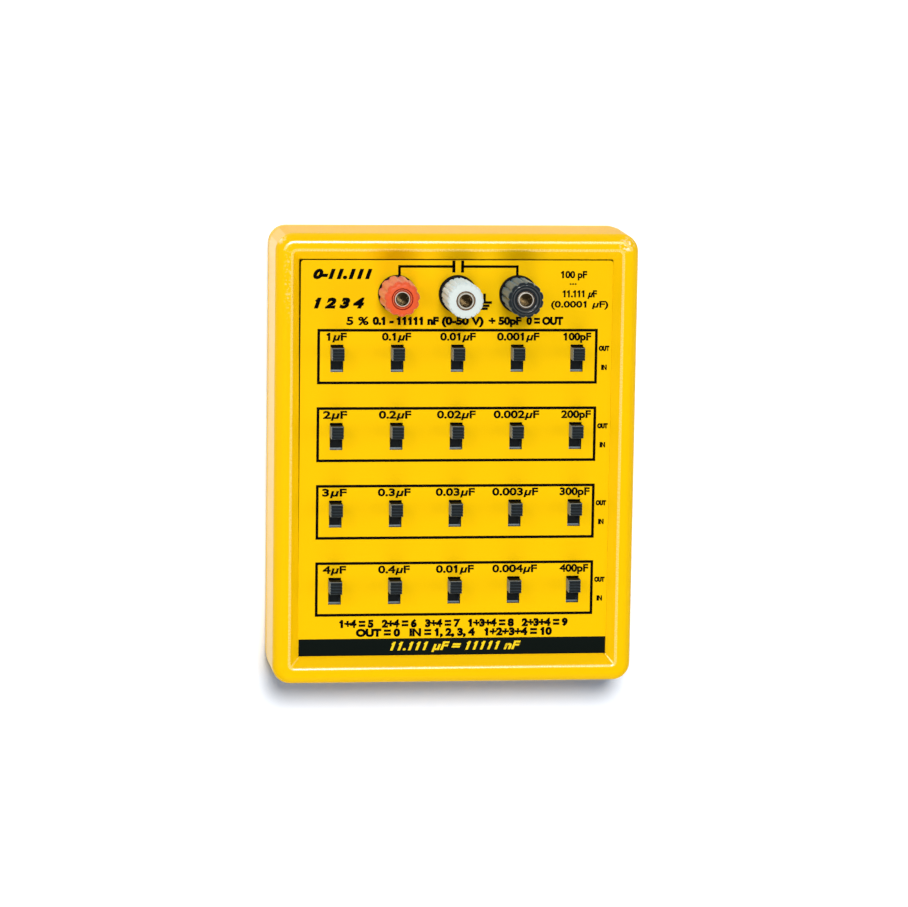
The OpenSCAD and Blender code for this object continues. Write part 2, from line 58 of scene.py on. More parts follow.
# %% Sizes taken from the frame
def middle_of(box):
    low, high = box
    return (low[0] + high[0]) / 2, (low[1] + high[1]) / 2


panel_low, panel_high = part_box("panel_plate")
PANEL_Z = panel_high[2]
PANEL_W = panel_high[0] - panel_low[0]
PANEL_L = panel_high[1] - panel_low[1]
case_low, case_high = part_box("front_case")
RIM_Z = case_high[2]
PARTING_Z = case_low[2]
CASE_W = case_high[0] - case_low[0]
CASE_L = case_high[1] - case_low[1]
print("panel", round(PANEL_W / MM, 1), "x", round(PANEL_L / MM, 1), "at height", round(PANEL_Z / MM, 1))

# %% [markdown]
# ## The camera
#
# The portrait was taken with a long lens from a little above the posts' end and a little left of
# the middle. The camera is placed by two lean angles and a distance from a point on the panel, and
# a small roll turns its upright. A long lens needs no shift, so other views stay centred.

# %% Camera
AIM = Vector((-0.38 * MM, 1.9 * MM, PANEL_Z))
DISTANCE = 1.2
LEAN_LEFT = math.radians(7.39)
LEAN_UP = math.radians(8.53)
ROLL = math.radians(-0.83)
LENS = 151.4

toward_camera = Vector((-math.tan(LEAN_LEFT), math.tan(LEAN_UP), 1)).normalized()
upright = Vector((math.sin(ROLL), math.cos(ROLL), 0))
side = upright.cross(toward_camera).normalized()
over = toward_camera.cross(side)
bpy.ops.object.camera_add()
camera = bpy.context.object
camera.name = "portrait_camera"
turn = Matrix((side, over, toward_camera)).transposed().to_4x4()
camera.matrix_world = Matrix.Translation(AIM + DISTANCE * toward_camera) @ turn
camera.data.lens = LENS
camera.data.sensor_width = 36
camera.data.clip_end = 10
bpy.context.scene.camera = camera
print("camera", [round(v, 3) for v in camera.matrix_world.translation])

# %% [markdown]
# ## Light and floor
#
# Shader nodes are built with small helpers. The first adds a node, writes what is fixed on its
# sockets, links what comes from another node and returns one output. The others multiply, turn a
# span of values into a share, take one axis of a place, and tell the rays that look at the scene,
# directly or in a mirror, from those that light it.

# %% Node helpers
def add(tree, kind, output, inputs, **settings):
    node = tree.nodes.new("ShaderNode" + kind)
    for key, value in settings.items():
        setattr(node, key, value)
    for key, value in inputs.items():
        if isinstance(value, bpy.types.NodeSocket):
            tree.links.new(value, node.inputs[key])
        else:
            node.inputs[key].default_value = value
    return node.outputs[output]


def product(tree, first, *others):
    for factor in others:
        first = add(tree, "Math", "Value", {0: first, 1: factor}, operation="MULTIPLY")
    return first


def ramp(tree, value, none, full):
    return add(tree, "MapRange", "Result", {"Value": value, "From Min": none, "From Max": full})


def axis_of(tree, vector, axis):
    return add(tree, "SeparateXYZ", axis, {"Vector": vector})


def looking_rays(tree):
    path = tree.nodes.new("ShaderNodeLightPath").outputs
    mirrors = {0: path["Is Glossy Ray"], 1: path["Is Transmission Ray"]}
    mirrored = add(tree, "Math", "Value", mirrors, operation="MAXIMUM")
    either = add(tree, "Math", "Value", {0: path["Is Camera Ray"], 1: mirrored}, operation="MAXIMUM")
    return path["Is Camera Ray"], either


print("node helpers: add, product, ramp, axis_of, looking_rays")

# %% [markdown]
# The world is faint. A low even level keeps the shadows dark, and a broad glow on the upper left
# stands for a white wall there, which lights the sides of the caps and knobs. The camera itself
# sees plain white, and so do mirror rays, so metal shows the same white room.

# %% World
WALL_TOWARD = Vector((-0.68, 0.62, 0.38)).normalized()
WALL_EDGES = (0.1, 0.95)
AIR_LEVELS = (0.05, 0.5)

world = bpy.data.worlds.new("studio_air")
bpy.context.scene.world = world
world.use_nodes = True
wt = world.node_tree
wt.nodes.clear()
facing = {0: add(wt, "TexCoord", "Generated", {}), 1: WALL_TOWARD}
toward_wall = add(wt, "VectorMath", "Value", facing, operation="DOT_PRODUCT")
glow_range = {"Value": toward_wall, "From Min": WALL_EDGES[0], "From Max": WALL_EDGES[1],
              "To Min": AIR_LEVELS[0], "To Max": AIR_LEVELS[1]}
glow = add(wt, "MapRange", "Result", glow_range, interpolation_type="SMOOTHSTEP")
looks = looking_rays(wt)[1]
level = add(wt, "Mix", "Result", {"Factor": looks, "A": glow, "B": 1.0}, data_type="FLOAT")
sky = add(wt, "Background", "Background", {"Color": (1, 1, 1, 1), "Strength": level})
wt.links.new(sky, wt.nodes.new("ShaderNodeOutputWorld").inputs["Surface"])
bpy.context.scene.view_settings.view_transform = "Standard"
print("world level", AIR_LEVELS[0], "to", AIR_LEVELS[1])

# %% [markdown]
# The floor is a wide sheet of card. The camera and mirror rays see it white. For the light that it
# scatters back it turns grey beyond the foot of the box, which keeps the shadow there deep. Outside
# the box's footprint a weak blue-green glow cancels the yellow light that the case throws on the
# card, and a faint white lift keeps the strip beside the left wall white, for the camera alone.

# %% Floor
CARD_WHITE = (0.99, 0.99, 0.99, 1)
CARD_BELOW = (0.26, 0.29, 0.34, 1)
CARD_BESIDE = (0.88, 0.89, 0.9, 1)
CARD_GLOW = (0.0, 0.4, 1.0, 1)
GLOW_LEVEL = 0.18
LIFT_LEVEL = 0.25
FOOT_FADE = 10 * MM
GLOW_FADE = (-1 * MM, 5 * MM)
LIFT_FADE = (2 * MM, 24 * MM)
LIFT_SOFT = 1 * MM
FOOT_Y = -CASE_L / 2
LEFT_X = -CASE_W / 2

bpy.ops.mesh.primitive_plane_add(size=6)
floor = bpy.context.object
floor.name = "white_card"

card = bpy.data.materials.new("white_card")
card.use_nodes = True
ct = card.node_tree
ct.nodes.clear()
spot = add(ct, "TexCoord", "Object", {})
camera_sees, looks = looking_rays(ct)

past_foot = ramp(ct, axis_of(ct, spot, "Y"), FOOT_Y - FOOT_FADE, FOOT_Y + FOOT_FADE)
shades = {"Factor": past_foot, "A": CARD_BELOW, "B": CARD_BESIDE}
grey = add(ct, "Mix", "Result", shades, data_type="RGBA")
paper = add(ct, "Mix", "Result", {"Factor": looks, "A": grey, "B": CARD_WHITE}, data_type="RGBA")
matt = add(ct, "BsdfDiffuse", "BSDF", {"Color": paper})

half = add(ct, "VectorMath", "Vector", {0: spot}, operation="ABSOLUTE")
footprint = (CASE_W / 2, CASE_L / 2, 0)
beyond = add(ct, "VectorMath", "Vector", {0: half, 1: footprint}, operation="SUBTRACT")
sides = {0: axis_of(ct, beyond, "X"), 1: axis_of(ct, beyond, "Y")}
outside = ramp(ct, add(ct, "Math", "Value", sides, operation="MAXIMUM"), *GLOW_FADE)
strength = product(ct, outside, looks, GLOW_LEVEL)
glow = add(ct, "Emission", "Emission", {"Color": CARD_GLOW, "Strength": strength})

near_left = ramp(ct, axis_of(ct, spot, "X"), LEFT_X + LIFT_SOFT, LEFT_X)
above_foot = ramp(ct, axis_of(ct, spot, "Y"), *[FOOT_Y + far for far in LIFT_FADE])
strength = product(ct, near_left, above_foot, camera_sees, LIFT_LEVEL)
lift = add(ct, "Emission", "Emission", {"Color": (1, 1, 1, 1), "Strength": strength})

glowing = add(ct, "AddShader", "Shader", {0: matt, 1: glow})
lifted = add(ct, "AddShader", "Shader", {0: glowing, 1: lift})
ct.links.new(lifted, ct.nodes.new("ShaderNodeOutputMaterial").inputs["Surface"])
floor.data.materials.append(card)
print("card glow", GLOW_LEVEL, "and lift", LIFT_LEVEL)

# %% [markdown]
# The lamps are discs. Light linking gives the card a lamp of its own, some twenty degrees off
# the upright, whose shadow darkens the card below the foot of the box. The box is lit like an
# object in a white tent: a key lamp from the same side, which throws the short soft shadows of the
# caps down the panel, a ring of four wide low lamps, and a small one at the upper left that draws
# the rolled edges.

# %% Lamps
def disc_lamp(name, off_upright, turned, away, size, level, lights_card=False):
    low = math.radians(off_upright)
    round_z = math.radians(turned)
    toward = Vector((math.sin(low) * math.cos(round_z), math.sin(low) * math.sin(round_z), math.cos(low)))
    bpy.ops.object.light_add(type="AREA", location=toward * away)
    lamp = bpy.context.object
    lamp.name = name
    lamp.data.shape = "DISK"
    lamp.data.size = size
    lamp.data.energy = level * (math.pi * away) ** 2
    lamp.rotation_euler = toward.to_track_quat("Z", "Y").to_euler()
    receivers = bpy.data.collections.new(name + "_receivers")
    receivers.objects.link(floor)
    receivers.collection_objects[0].light_linking.link_state = "INCLUDE" if lights_card else "EXCLUDE"
    lamp.light_linking.receiver_collection = receivers
    return lamp


disc_lamp("card_lamp", 19.8, 94, 2.5, 0.68, 1.02, lights_card=True)
disc_lamp("key_lamp", 17.2, 94, 2.5, 0.6, 0.45)
disc_lamp("corner_lamp", 50, 143, 1.0, 0.22, 0.09)
FILLS = (("left", 180, 0.14), ("right", 0, 0.29), ("head", 90, 0.11), ("foot", 270, 0.56))
FILL_LEAN, FILL_AWAY, FILL_SIZE = 62, 1.5, 1.1
for name, turned, level in FILLS:
    disc_lamp(name + "_fill", FILL_LEAN, turned, FILL_AWAY, FILL_SIZE, level).visible_glossy = False

# %% [markdown]
# ## Finishes
#
# Every finish starts from one Principled shader. What changes over the surface comes from noise in
# Object coordinates, at a scale given in millimetres: a shift of colour, a shift of roughness and
# a fine bump. What is even all over is written on the shader's own sockets.

# %% Material helper
ROUGH_DRIFT = 0.06
LEAST_ROUGH = 0.02


def finish(name, colour, rough, metal=0.0, grain_mm=0.5, grain=0.0, drift_mm=18.0, drift=0.04,
           specular=0.5, coat=0.0, coat_rough=0.15, sheen=0.0, sheen_tint=(1, 1, 1)):
    mat = bpy.data.materials.new(name)
    mat.use_nodes = True
    tree = mat.node_tree
    shader = tree.nodes["Principled BSDF"]
    shader.name = "surface"
    for socket, value in (
        ("Metallic", metal), ("Specular IOR Level", specular), ("Coat Weight", coat),
        ("Coat Roughness", coat_rough), ("Sheen Weight", sheen), ("Sheen Tint", (*sheen_tint, 1)),
    ):
        shader.inputs[socket].default_value = value
    where = add(tree, "TexCoord", "Object", {})

    cloud = add(tree, "TexNoise", "Fac", {"Vector": where, "Scale": 1 / (drift_mm * MM), "Detail": 4})
    darker = (*[c * (1 - drift) for c in colour], 1)
    lighter = (*[min(1, c * (1 + drift)) for c in colour], 1)
    tint = {"Factor": cloud, "A": darker, "B": lighter}
    tree.links.new(add(tree, "Mix", "Result", tint, data_type="RGBA"), shader.inputs["Base Color"])

    fine = add(tree, "TexNoise", "Fac", {"Vector": where, "Scale": 1 / (grain_mm * MM), "Detail": 3})
    polish = {"Value": fine, "To Min": max(LEAST_ROUGH, rough - ROUGH_DRIFT),
              "To Max": min(1, rough + ROUGH_DRIFT)}
    tree.links.new(add(tree, "MapRange", "Result", polish), shader.inputs["Roughness"])
    if grain > 0:
        bump = add(tree, "Bump", "Normal", {"Height": fine, "Strength": 1, "Distance": grain * MM})
        tree.links.new(bump, shader.inputs["Normal"])
    return mat


print("roughness drifts by", ROUGH_DRIFT, "either way")

# %% [markdown]
# The case is moulded in self-coloured yellow plastic with a fine spark-eroded grain, and the panel
# is metal painted to match it, so it is smoother and a little flatter. Inks are dense and dull.

# %% Plastics, paints and inks
YELLOW = (0.93, 0.55, 0.0008)
case_plastic = finish("case_plastic", YELLOW, 0.4, grain_mm=0.45, grain=0.016, drift=0.015, specular=0.05)
# The ends and corners are a little darker and oranger than the case, a painted shade; the ends also have a
# coarser grain.
shaded_end_plastic = finish("shaded_end_plastic", (0.93, 0.5, 0.004), 0.4, grain_mm=0.7, grain=0.03,
                     drift_mm=1.3, drift=0.06, specular=0.05)
shaded_corner_plastic = finish("shaded_corner_plastic", (0.93, 0.52, 0.002), 0.34, grain_mm=0.45, grain=0.016, drift=0.02,
                        specular=0.16)
side_plastic = finish("side_plastic", YELLOW, 0.3, grain_mm=0.45, grain=0.012, drift=0.015, specular=0.35)
# The polished edge strips are glossier, and their paler yellow is a painted highlight.
edge_polish_highlight = finish("edge_polish_highlight", (0.94, 0.6, 0.04), 0.27, grain_mm=0.45, grain=0.003, drift=0.015,
                     specular=1.0, coat=1.0, coat_rough=0.2)
panel_paint = finish("panel_paint", YELLOW, 0.5, grain_mm=0.25, grain=0.003, drift=0.012, specular=0.04)
black_ink = finish("black_ink", (0.0006, 0.0007, 0.0012), 0.6, grain_mm=0.2, grain=0.002, specular=0.02)
bar_ink = finish("bar_ink", (0.003, 0.0055, 0.0045), 0.55, grain_mm=0.2, grain=0.002, specular=0.03)
yellow_ink = finish("yellow_ink", (0.93, 0.64, 0.008), 0.5, grain_mm=0.2, grain=0.002, specular=0.2)
COOL = (0.6, 0.8, 1.0)
slider_plastic = finish("slider_plastic", (0.009, 0.0112, 0.011), 0.42, grain_mm=0.3, grain=0.01,
                        specular=0.1, sheen=0.32, sheen_tint=COOL)
# Painted light on the knobs: light grey rolled edges toward the upper left, a paler left side, and a
# near-black painted shade on the side toward the head.
knob_edge = finish("knob_edge", (0.2, 0.21, 0.185), 0.4, grain_mm=0.3, grain=0.008, drift=0.2,
                   specular=0.2, sheen=0.3, sheen_tint=COOL)
knob_side_lit = finish("knob_side_lit", (0.075, 0.08, 0.07), 0.4, grain_mm=0.3, grain=0.008, drift=0.2,
                   specular=0.2, sheen=0.2, sheen_tint=COOL)
knob_shade = finish("knob_shade", (0.002, 0.0024, 0.003), 0.5, grain_mm=0.3, grain=0.008, specular=0.04)
washer_plastic = finish("washer_plastic", (0.002, 0.0024, 0.004), 0.4, grain_mm=0.3, grain=0.006,
                        specular=0.1)
red_plastic = finish("red_plastic", (0.75, 0.092, 0.02), 0.34, grain=0.01, drift=0.05, specular=0.22,
                     sheen=0.22)
# A darker red for the groove round the red socket, a painted shade.
red_groove_shade = finish("red_groove_shade", (0.42, 0.01, 0.003), 0.45, grain=0.006, specular=0.1)
white_plastic = finish("white_plastic", (0.67, 0.735, 0.7), 0.32, grain=0.008, drift=0.03,
                       specular=0.15, sheen=0.62, sheen_tint=(0.55, 0.8, 1.0))
black_plastic = finish("black_plastic", (0.010, 0.0125, 0.0145), 0.3, grain=0.01, drift=0.2,
                       specular=0.06, sheen=0.32, sheen_tint=(0.52, 0.82, 1.0))
black_gloss = finish("black_gloss", (0.014, 0.017, 0.018), 0.14, grain=0.003, specular=0.6,
                     coat=0.45, coat_rough=0.1)
foot_rubber = finish("foot_rubber", (0.02, 0.02, 0.021), 0.85, grain_mm=0.3, grain=0.02, drift=0.15)
phenolic = finish("phenolic", (0.16, 0.075, 0.03), 0.55, grain_mm=0.4, grain=0.006, drift=0.15)
solder_mask = finish("solder_mask", (0.012, 0.10, 0.035), 0.35, grain_mm=0.6, grain=0.004, drift=0.08)
print("yellow", YELLOW)

# %% [markdown]
# A finish can change with the place on the part. A share between nought and one, taken from the
# Object coordinates, lays a second colour over the first: the panel's punched edges are darkened below
# its painted face with painted shade, the bores of the posts are darkened with painted shade while their
# rims stay bright, and painted glints show where specks of noise lie inside an egg-shaped zone of the rim.

# %% Second colour by place
GLINT_SPECK_MM = 1.0
GLINT_FADE = (1.0, 0.45)
SHADE_TOP_DEPTH = 0.02 * MM
SHADE_FULL_DEPTH = 0.1 * MM


def second_colour(mat, share, colour):
    tree = mat.node_tree
    skin = tree.nodes["surface"].inputs["Base Color"]
    mix = {"Factor": share, "A": skin.links[0].from_socket, "B": (*colour, 1)}
    tree.links.new(add(tree, "Mix", "Result", mix, data_type="RGBA"), skin)


# Painted glints: pale specks of painted highlight laid into a finish's colour inside an egg-shaped zone.
def painted_glints(mat, centre, reach, colour, low, high):
    tree = mat.node_tree
    where = add(tree, "TexCoord", "Object", {})
    zone = {"Vector": where, "Location": [c * MM for c in centre], "Scale": [r * MM for r in reach]}
    inside = add(tree, "Mapping", "Vector", zone, vector_type="TEXTURE")
    away = add(tree, "VectorMath", "Value", {0: inside}, operation="LENGTH")
    specks = add(tree, "TexNoise", "Fac", {"Vector": where, "Scale": 1 / (GLINT_SPECK_MM * MM), "Detail": 4})
    share = product(tree, ramp(tree, away, *GLINT_FADE), ramp(tree, specks, low, high))
    second_colour(mat, share, colour)


def off_axis(tree, x, y):
    where = add(tree, "TexCoord", "Object", {})
    flat = add(tree, "VectorMath", "Vector", {0: where, 1: (1, 1, 0)}, operation="MULTIPLY")
    return add(tree, "VectorMath", "Value", {0: flat, 1: (x, y, 0)}, operation="DISTANCE")


# The panel's cut edges below its face are darkened with painted shade.
pt = panel_paint.node_tree
height = axis_of(pt, add(pt, "TexCoord", "Object", {}), "Z")
painted_shade_below_face = ramp(pt, height, PANEL_Z - SHADE_TOP_DEPTH, PANEL_Z - SHADE_FULL_DEPTH)
second_colour(panel_paint, painted_shade_below_face, (0.02, 0.015, 0.004))
print("the panel is dark below", round((PANEL_Z - SHADE_FULL_DEPTH) / MM, 2), "mm")

# %% [markdown]
# Metals differ mostly in colour and in how evenly they shine. The switch shells are bright plated
# steel, the posts are nickel over brass and their inserts are bare brass that has dulled.

# %% Metals
BORE_BRIGHT = 2.2 * MM
BORE_SHADED = 2.02 * MM
plated_steel = finish("plated_steel", (0.22, 0.26, 0.28), 0.3, metal=1, grain=0.004, drift=0.08)
screw_zinc = finish("screw_zinc", (0.55, 0.56, 0.58), 0.35, metal=1, grain_mm=0.4, grain=0.006, drift=0.12)
dull_brass = finish("dull_brass", (0.13, 0.062, 0.024), 0.38, metal=1, grain_mm=0.4, grain=0.008,
                    drift=0.2, drift_mm=2)
tinned = finish("tinned", (0.7, 0.7, 0.68), 0.3, metal=1, grain_mm=0.4, grain=0.004, drift=0.1)

post_metal = {}
for colour in ("red", "white", "black"):
    metal = finish(colour + "_post_metal", (0.7, 0.66, 0.58), 0.2, metal=1, grain_mm=0.7, grain=0.03,
                   drift=0.15, drift_mm=2)
    # Inside the bore the metal turns dark brown, a painted shade; the rim stays bright.
    away = off_axis(metal.node_tree, *middle_of(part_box(colour + "_stud")))
    second_colour(metal, ramp(metal.node_tree, away, BORE_BRIGHT, BORE_SHADED), (0.06, 0.042, 0.02))
    post_metal[colour] = metal
print("post metal for", ", ".join(post_metal))

# %% [markdown]
# The parts behind the panel show only through the slots, but each still gets a finish of its own:
# moulded boxes, dipped pads, foil tubes and ceramic discs for the capacitors, and wire covers.

# %% Finishes behind the panel
film_grey = finish("film_grey", (0.45, 0.47, 0.45), 0.3, grain_mm=0.6, grain=0.004)
film_amber = finish("film_amber", (0.6, 0.36, 0.04), 0.3, grain_mm=0.6, grain=0.004)
dipped_green = finish("dipped_green", (0.03, 0.2, 0.05), 0.25, grain_mm=0.8, grain=0.01, coat=0.3)
foil_silver = finish("foil_silver", (0.6, 0.63, 0.66), 0.2, grain_mm=0.6, grain=0.003, coat=0.5)
ceramic_tan = finish("ceramic_tan", (0.38, 0.16, 0.05), 0.5, grain=0.01, drift=0.12)
red_cover = finish("red_cover", (0.55, 0.03, 0.02), 0.45, grain=0.004)
white_cover = finish("white_cover", (0.75, 0.75, 0.72), 0.45, grain=0.004)
black_cover = finish("black_cover", (0.02, 0.02, 0.02), 0.45, grain=0.004)
print("materials so far:", len(bpy.data.materials))

# %% [markdown]
# Each solid of the frame gets its finish by name. The sliders share one.

# %% Finishes for the frame's own solids
NODE_FINISH = {
    "front_case": case_plastic, "rear_case": case_plastic, "panel_plate": panel_paint,
    "case_screws": screw_zinc, "rubber_feet": foot_rubber, "circuit_board": solder_mask,
    "board_screws": screw_zinc, "switch_shells": plated_steel, "switch_bases": phenolic,
    "switch_terminals": tinned, "capacitors_1uF": film_grey, "capacitors_100nF": film_amber,
    "capacitors_10nF": dipped_green, "capacitors_1nF": foil_silver, "capacitors_100pF": ceramic_tan,
    "upper_washers": washer_plastic, "lower_washers": washer_plastic, "post_nuts": dull_brass,
    "lock_nuts": dull_brass, "solder_lugs": tinned,
}
POST_FINISH = {
    "red": (red_plastic, red_cover),
    "white": (white_plastic, white_cover),
    "black": (black_plastic, black_cover),
}
for colour, (cap_finish, cover) in POST_FINISH.items():
    NODE_FINISH[colour + "_stud"] = post_metal[colour]
    NODE_FINISH[colour + "_insert"] = dull_brass
    NODE_FINISH[colour + "_cap"] = cap_finish
    NODE_FINISH[colour + "_lead"] = cover
for name, node in nodes.items():
    mat = NODE_FINISH.get(name, slider_plastic if name.startswith("slider_") else None)
    node.data.materials.clear()
    node.data.materials.append(mat)
print("finishes on", len(nodes), "solids")

# %% [markdown]
# ## Tools for modelling by hand
#
# Blender's operators act on whatever is selected. These helpers choose one object, open it for
# editing, pick its corners, edges or faces by where they are or which way they face, paint faces
# with one of its finishes, close it, and write its place, turn and scale into its mesh.

# %% Choosing and picking
def close():
    bpy.ops.object.mode_set(mode="OBJECT")


def freeze():
    bpy.ops.object.transform_apply(location=True, rotation=True, scale=True)


def only(obj):
    if bpy.context.mode != "OBJECT":
        close()
    bpy.ops.object.select_all(action="DESELECT")
    obj.select_set(True)
    bpy.context.view_layer.objects.active = obj


def edit(obj):
    only(obj)
    bpy.ops.object.mode_set(mode="EDIT")


def pick(obj, kind, wanted):
    bpy.ops.mesh.select_mode(type=kind)
    mesh = bmesh.from_edit_mesh(obj.data)
    for group in (mesh.faces, mesh.edges, mesh.verts):
        for part in group:
            part.select_set(False)
    group = {"VERT": mesh.verts, "EDGE": mesh.edges, "FACE": mesh.faces}[kind]
    chosen = [part for part in group if wanted(part)]
    for part in chosen:
        part.select_set(True)
    bmesh.update_edit_mesh(obj.data)
    return len(chosen)


def paint(obj, slot, wanted):
    count = pick(obj, "FACE", wanted)
    obj.active_material_index = slot
    bpy.ops.object.material_slot_assign()
    return count


print("helpers: close, freeze, only, edit, pick, paint")

# %% [markdown]
# A block starts every moulding, and a closing step applies what is needed to each finished piece:
# modifiers become mesh, the place is in the mesh, and the piece rides on its body.

# %% Blocks, modifiers and joining
def block(name, low, high):
    bpy.ops.object.select_all(action="DESELECT")
    bpy.ops.mesh.primitive_cube_add(size=1, location=[(a + b) / 2 for a, b in zip(low, high)])
    obj = bpy.context.object
    obj.name = name
    obj.scale = [b - a for a, b in zip(low, high)]
    freeze()
    return obj


def apply_modifier(obj, kind, **settings):
    only(obj)
    modifier = obj.modifiers.new(kind.lower(), kind)
    for key, value in settings.items():
        setattr(modifier, key, value)
    bpy.ops.object.modifier_apply(modifier=modifier.name)


def joined(name, parts):
    only(parts[0])
    for part in parts[1:]:
        part.select_set(True)
    bpy.ops.object.join()
    obj = bpy.context.object
    obj.name = name
    obj.data.name = name
    return obj


def dress(obj, mat, body, smooth=35):
    only(obj)
    bpy.ops.object.shade_smooth_by_angle(angle=math.radians(smooth))
    if mat not in list(obj.data.materials):
        obj.data.materials.clear()
        obj.data.materials.append(mat)
    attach(obj, body)
    print(obj.name, "has", len(obj.data.polygons), "faces")


# %% [markdown]
# ## The front case
#
# The front half is one moulding: upright walls, a round-over that stops short of the rim in a soft
# crease, a flat land and a sloped tray. A block with four bevelled corners is the wall. Insetting
# its top again and again, each time a little further in and up, sweeps the round-over.

# %% Outer skin of the front case
CORNER_R = 5.7 * MM
DRAFT = 0.25 * MM
EDGE_R = 3.54 * MM
EDGE_END = math.radians(75)
EDGE_STEPS = 9
SEAM = 0.25 * MM
CORNER_FOLD = 10

skin = block(
    "front_case_skin",
    (-CASE_W / 2, -CASE_L / 2, PARTING_Z + SEAM),
    (CASE_W / 2, CASE_L / 2, RIM_Z - EDGE_R * math.sin(EDGE_END)),
)
edit(skin)
pick(skin, "EDGE", lambda e: abs(e.verts[0].co.z - e.verts[1].co.z) > MM)
bpy.ops.mesh.bevel(offset=CORNER_R, segments=CORNER_FOLD, affect="EDGES")
pick(skin, "FACE", lambda f: f.normal.z < -0.9)
bpy.ops.mesh.inset(thickness=SEAM, depth=SEAM)
bpy.ops.mesh.delete(type="FACE")
pick(skin, "FACE", lambda f: f.normal.z > 0.9)
bpy.ops.transform.resize(value=(1 - 2 * DRAFT / CASE_W, 1 - 2 * DRAFT / CASE_L, 1))
for step in range(EDGE_STEPS):
    a = EDGE_END * step / EDGE_STEPS
    b = EDGE_END * (step + 1) / EDGE_STEPS
    bpy.ops.mesh.inset(
        thickness=EDGE_R * (math.cos(a) - math.cos(b)),
        depth=EDGE_R * (math.sin(b) - math.sin(a)),
    )
bpy.ops.mesh.delete(type="FACE")
close()
print("outer skin", len(skin.data.vertices), "corners")

# %% [markdown]
# The tray is a second block, wide at the top and narrow at the foot, with its slanted edges
# bevelled by as many segments as the outer corners. Its foot is moved a little, so that the panel
# lies low and to the right in it and a dark gap shows above and at the upper left. The corners of
# the foot are drawn together, because the panel's pocket has sharp corners, and the foot is drawn
# down into the pocket. Faces laid between its open top and the outer skin then make the land.

# %% Tray, land and pocket
EDGE_RUN = EDGE_R * (1 - math.cos(EDGE_END))
LAND = 2.5 * MM
TRAY_RUN_X = 2.68 * MM
TRAY_RUN_Y = 3.14 * MM
TRAY_CORNER = 1.2 * MM
FOOT_CORNER = 0.3
POCKET_DEEP = 1.7 * MM
GAP_ABOVE = 0.2 * MM
GAP_LEFT = 0.45 * MM
GAP_LEFT_FOOT = 0.34 * MM
GAP_CLOSED = 0.14 * MM
land_w = CASE_W - 2 * (DRAFT + EDGE_RUN + LAND)
land_l = CASE_L - 2 * (DRAFT + EDGE_RUN + LAND)

tray = block("tray", (-land_w / 2, -land_l / 2, PANEL_Z), (land_w / 2, land_l / 2, RIM_Z))
edit(tray)
pick(tray, "FACE", lambda f: f.normal.z < -0.9)
bpy.ops.transform.resize(value=(1 - 2 * TRAY_RUN_X / land_w, 1 - 2 * TRAY_RUN_Y / land_l, 1))
for here, move in (
    (lambda p: p.y > 0, (0, GAP_ABOVE, 0)),
    (lambda p: p.y < 0, (0, GAP_CLOSED, 0)),
    (lambda p: p.x > 0, (-GAP_CLOSED, 0, 0)),
    (lambda p: p.x < 0 and p.y > 0, (-GAP_LEFT, 0, 0)),
    (lambda p: p.x < 0 and p.y < 0, (GAP_LEFT_FOOT, 0, 0)),
):
    pick(tray, "VERT", lambda v: v.co.z < RIM_Z - MM and here(v.co))
    bpy.ops.transform.translate(value=move)
pick(tray, "EDGE", lambda e: abs(e.verts[0].co.z - e.verts[1].co.z) > MM)
bpy.ops.mesh.bevel(offset=TRAY_CORNER, segments=CORNER_FOLD, affect="EDGES")
for sx, sy in ((-1, -1), (-1, 1), (1, -1), (1, 1)):
    def in_corner(v):
        return v.co.z < RIM_Z - MM and v.co.x * sx > 0 and v.co.y * sy > 0

    points = [v.co for v in bmesh.from_edit_mesh(tray.data).verts if in_corner(v)]
    corner = (sx * max(abs(p.x) for p in points), sy * max(abs(p.y) for p in points), PANEL_Z)
    pick(tray, "VERT", in_corner)
    bpy.ops.transform.resize(value=(FOOT_CORNER, FOOT_CORNER, 1), center_override=corner)
pick(tray, "FACE", lambda f: f.normal.z < -0.9 and len(f.verts) > 8)
bpy.ops.mesh.extrude_region_move(TRANSFORM_OT_translate={"value": (0, 0, -POCKET_DEEP)})
bpy.ops.mesh.delete(type="FACE")
pick(tray, "FACE", lambda f: f.normal.z > 0.9)
bpy.ops.mesh.delete(type="FACE")
close()

front_skin = joined("front_case_skin", [skin, tray])
edit(front_skin)


def middle(e):
    return (e.verts[0].co + e.verts[1].co) / 2


def off_tray(p):
    return max(abs(p.x) - land_w / 2, abs(p.y) - land_l / 2)


def open_rim():
    mesh = bmesh.from_edit_mesh(front_skin.data)
    found = [middle(e) for e in mesh.edges if e.is_boundary and middle(e).z > RIM_Z - 0.01 * MM]
    return sorted(found, key=lambda p: (math.atan2(p.y, p.x) + 3.2) % (2 * math.pi))


outer_ring = [p for p in open_rim() if off_tray(p) > 0.3 * MM]
inner_ring = [p for p in open_rim() if off_tray(p) < 0.3 * MM]
for pair in zip(outer_ring, inner_ring):
    pick(front_skin, "EDGE", lambda e: min((middle(e) - p).length for p in pair) < 0.001 * MM)
    bpy.ops.mesh.edge_face_add()
bpy.ops.mesh.select_all(action="SELECT")
bpy.ops.mesh.normals_make_consistent(inside=False)
print("land laid in", len(outer_ring), "faces, size in mm", round(land_w / MM, 2), round(land_l / MM, 2))

# %% [markdown]
# No moulded edge is sharp, and these soft edges are what the lamps draw as bright lines, so the
# crease at the head, the edge of the tray and its two lower mitres are polished and given a paler
# yellow, a painted highlight. Walls, ends and corners each have a finish of their own, and the ends
# and corners are a little darker and oranger in colour, a painted shade. A few painted glints lie on
# the rim: each has a middle, a reach along three axes, a colour and the two levels of noise between
# which it shows. The wall is then given its thickness inwards, and weighted normals keep the wide
# faces flat beside the round ones.

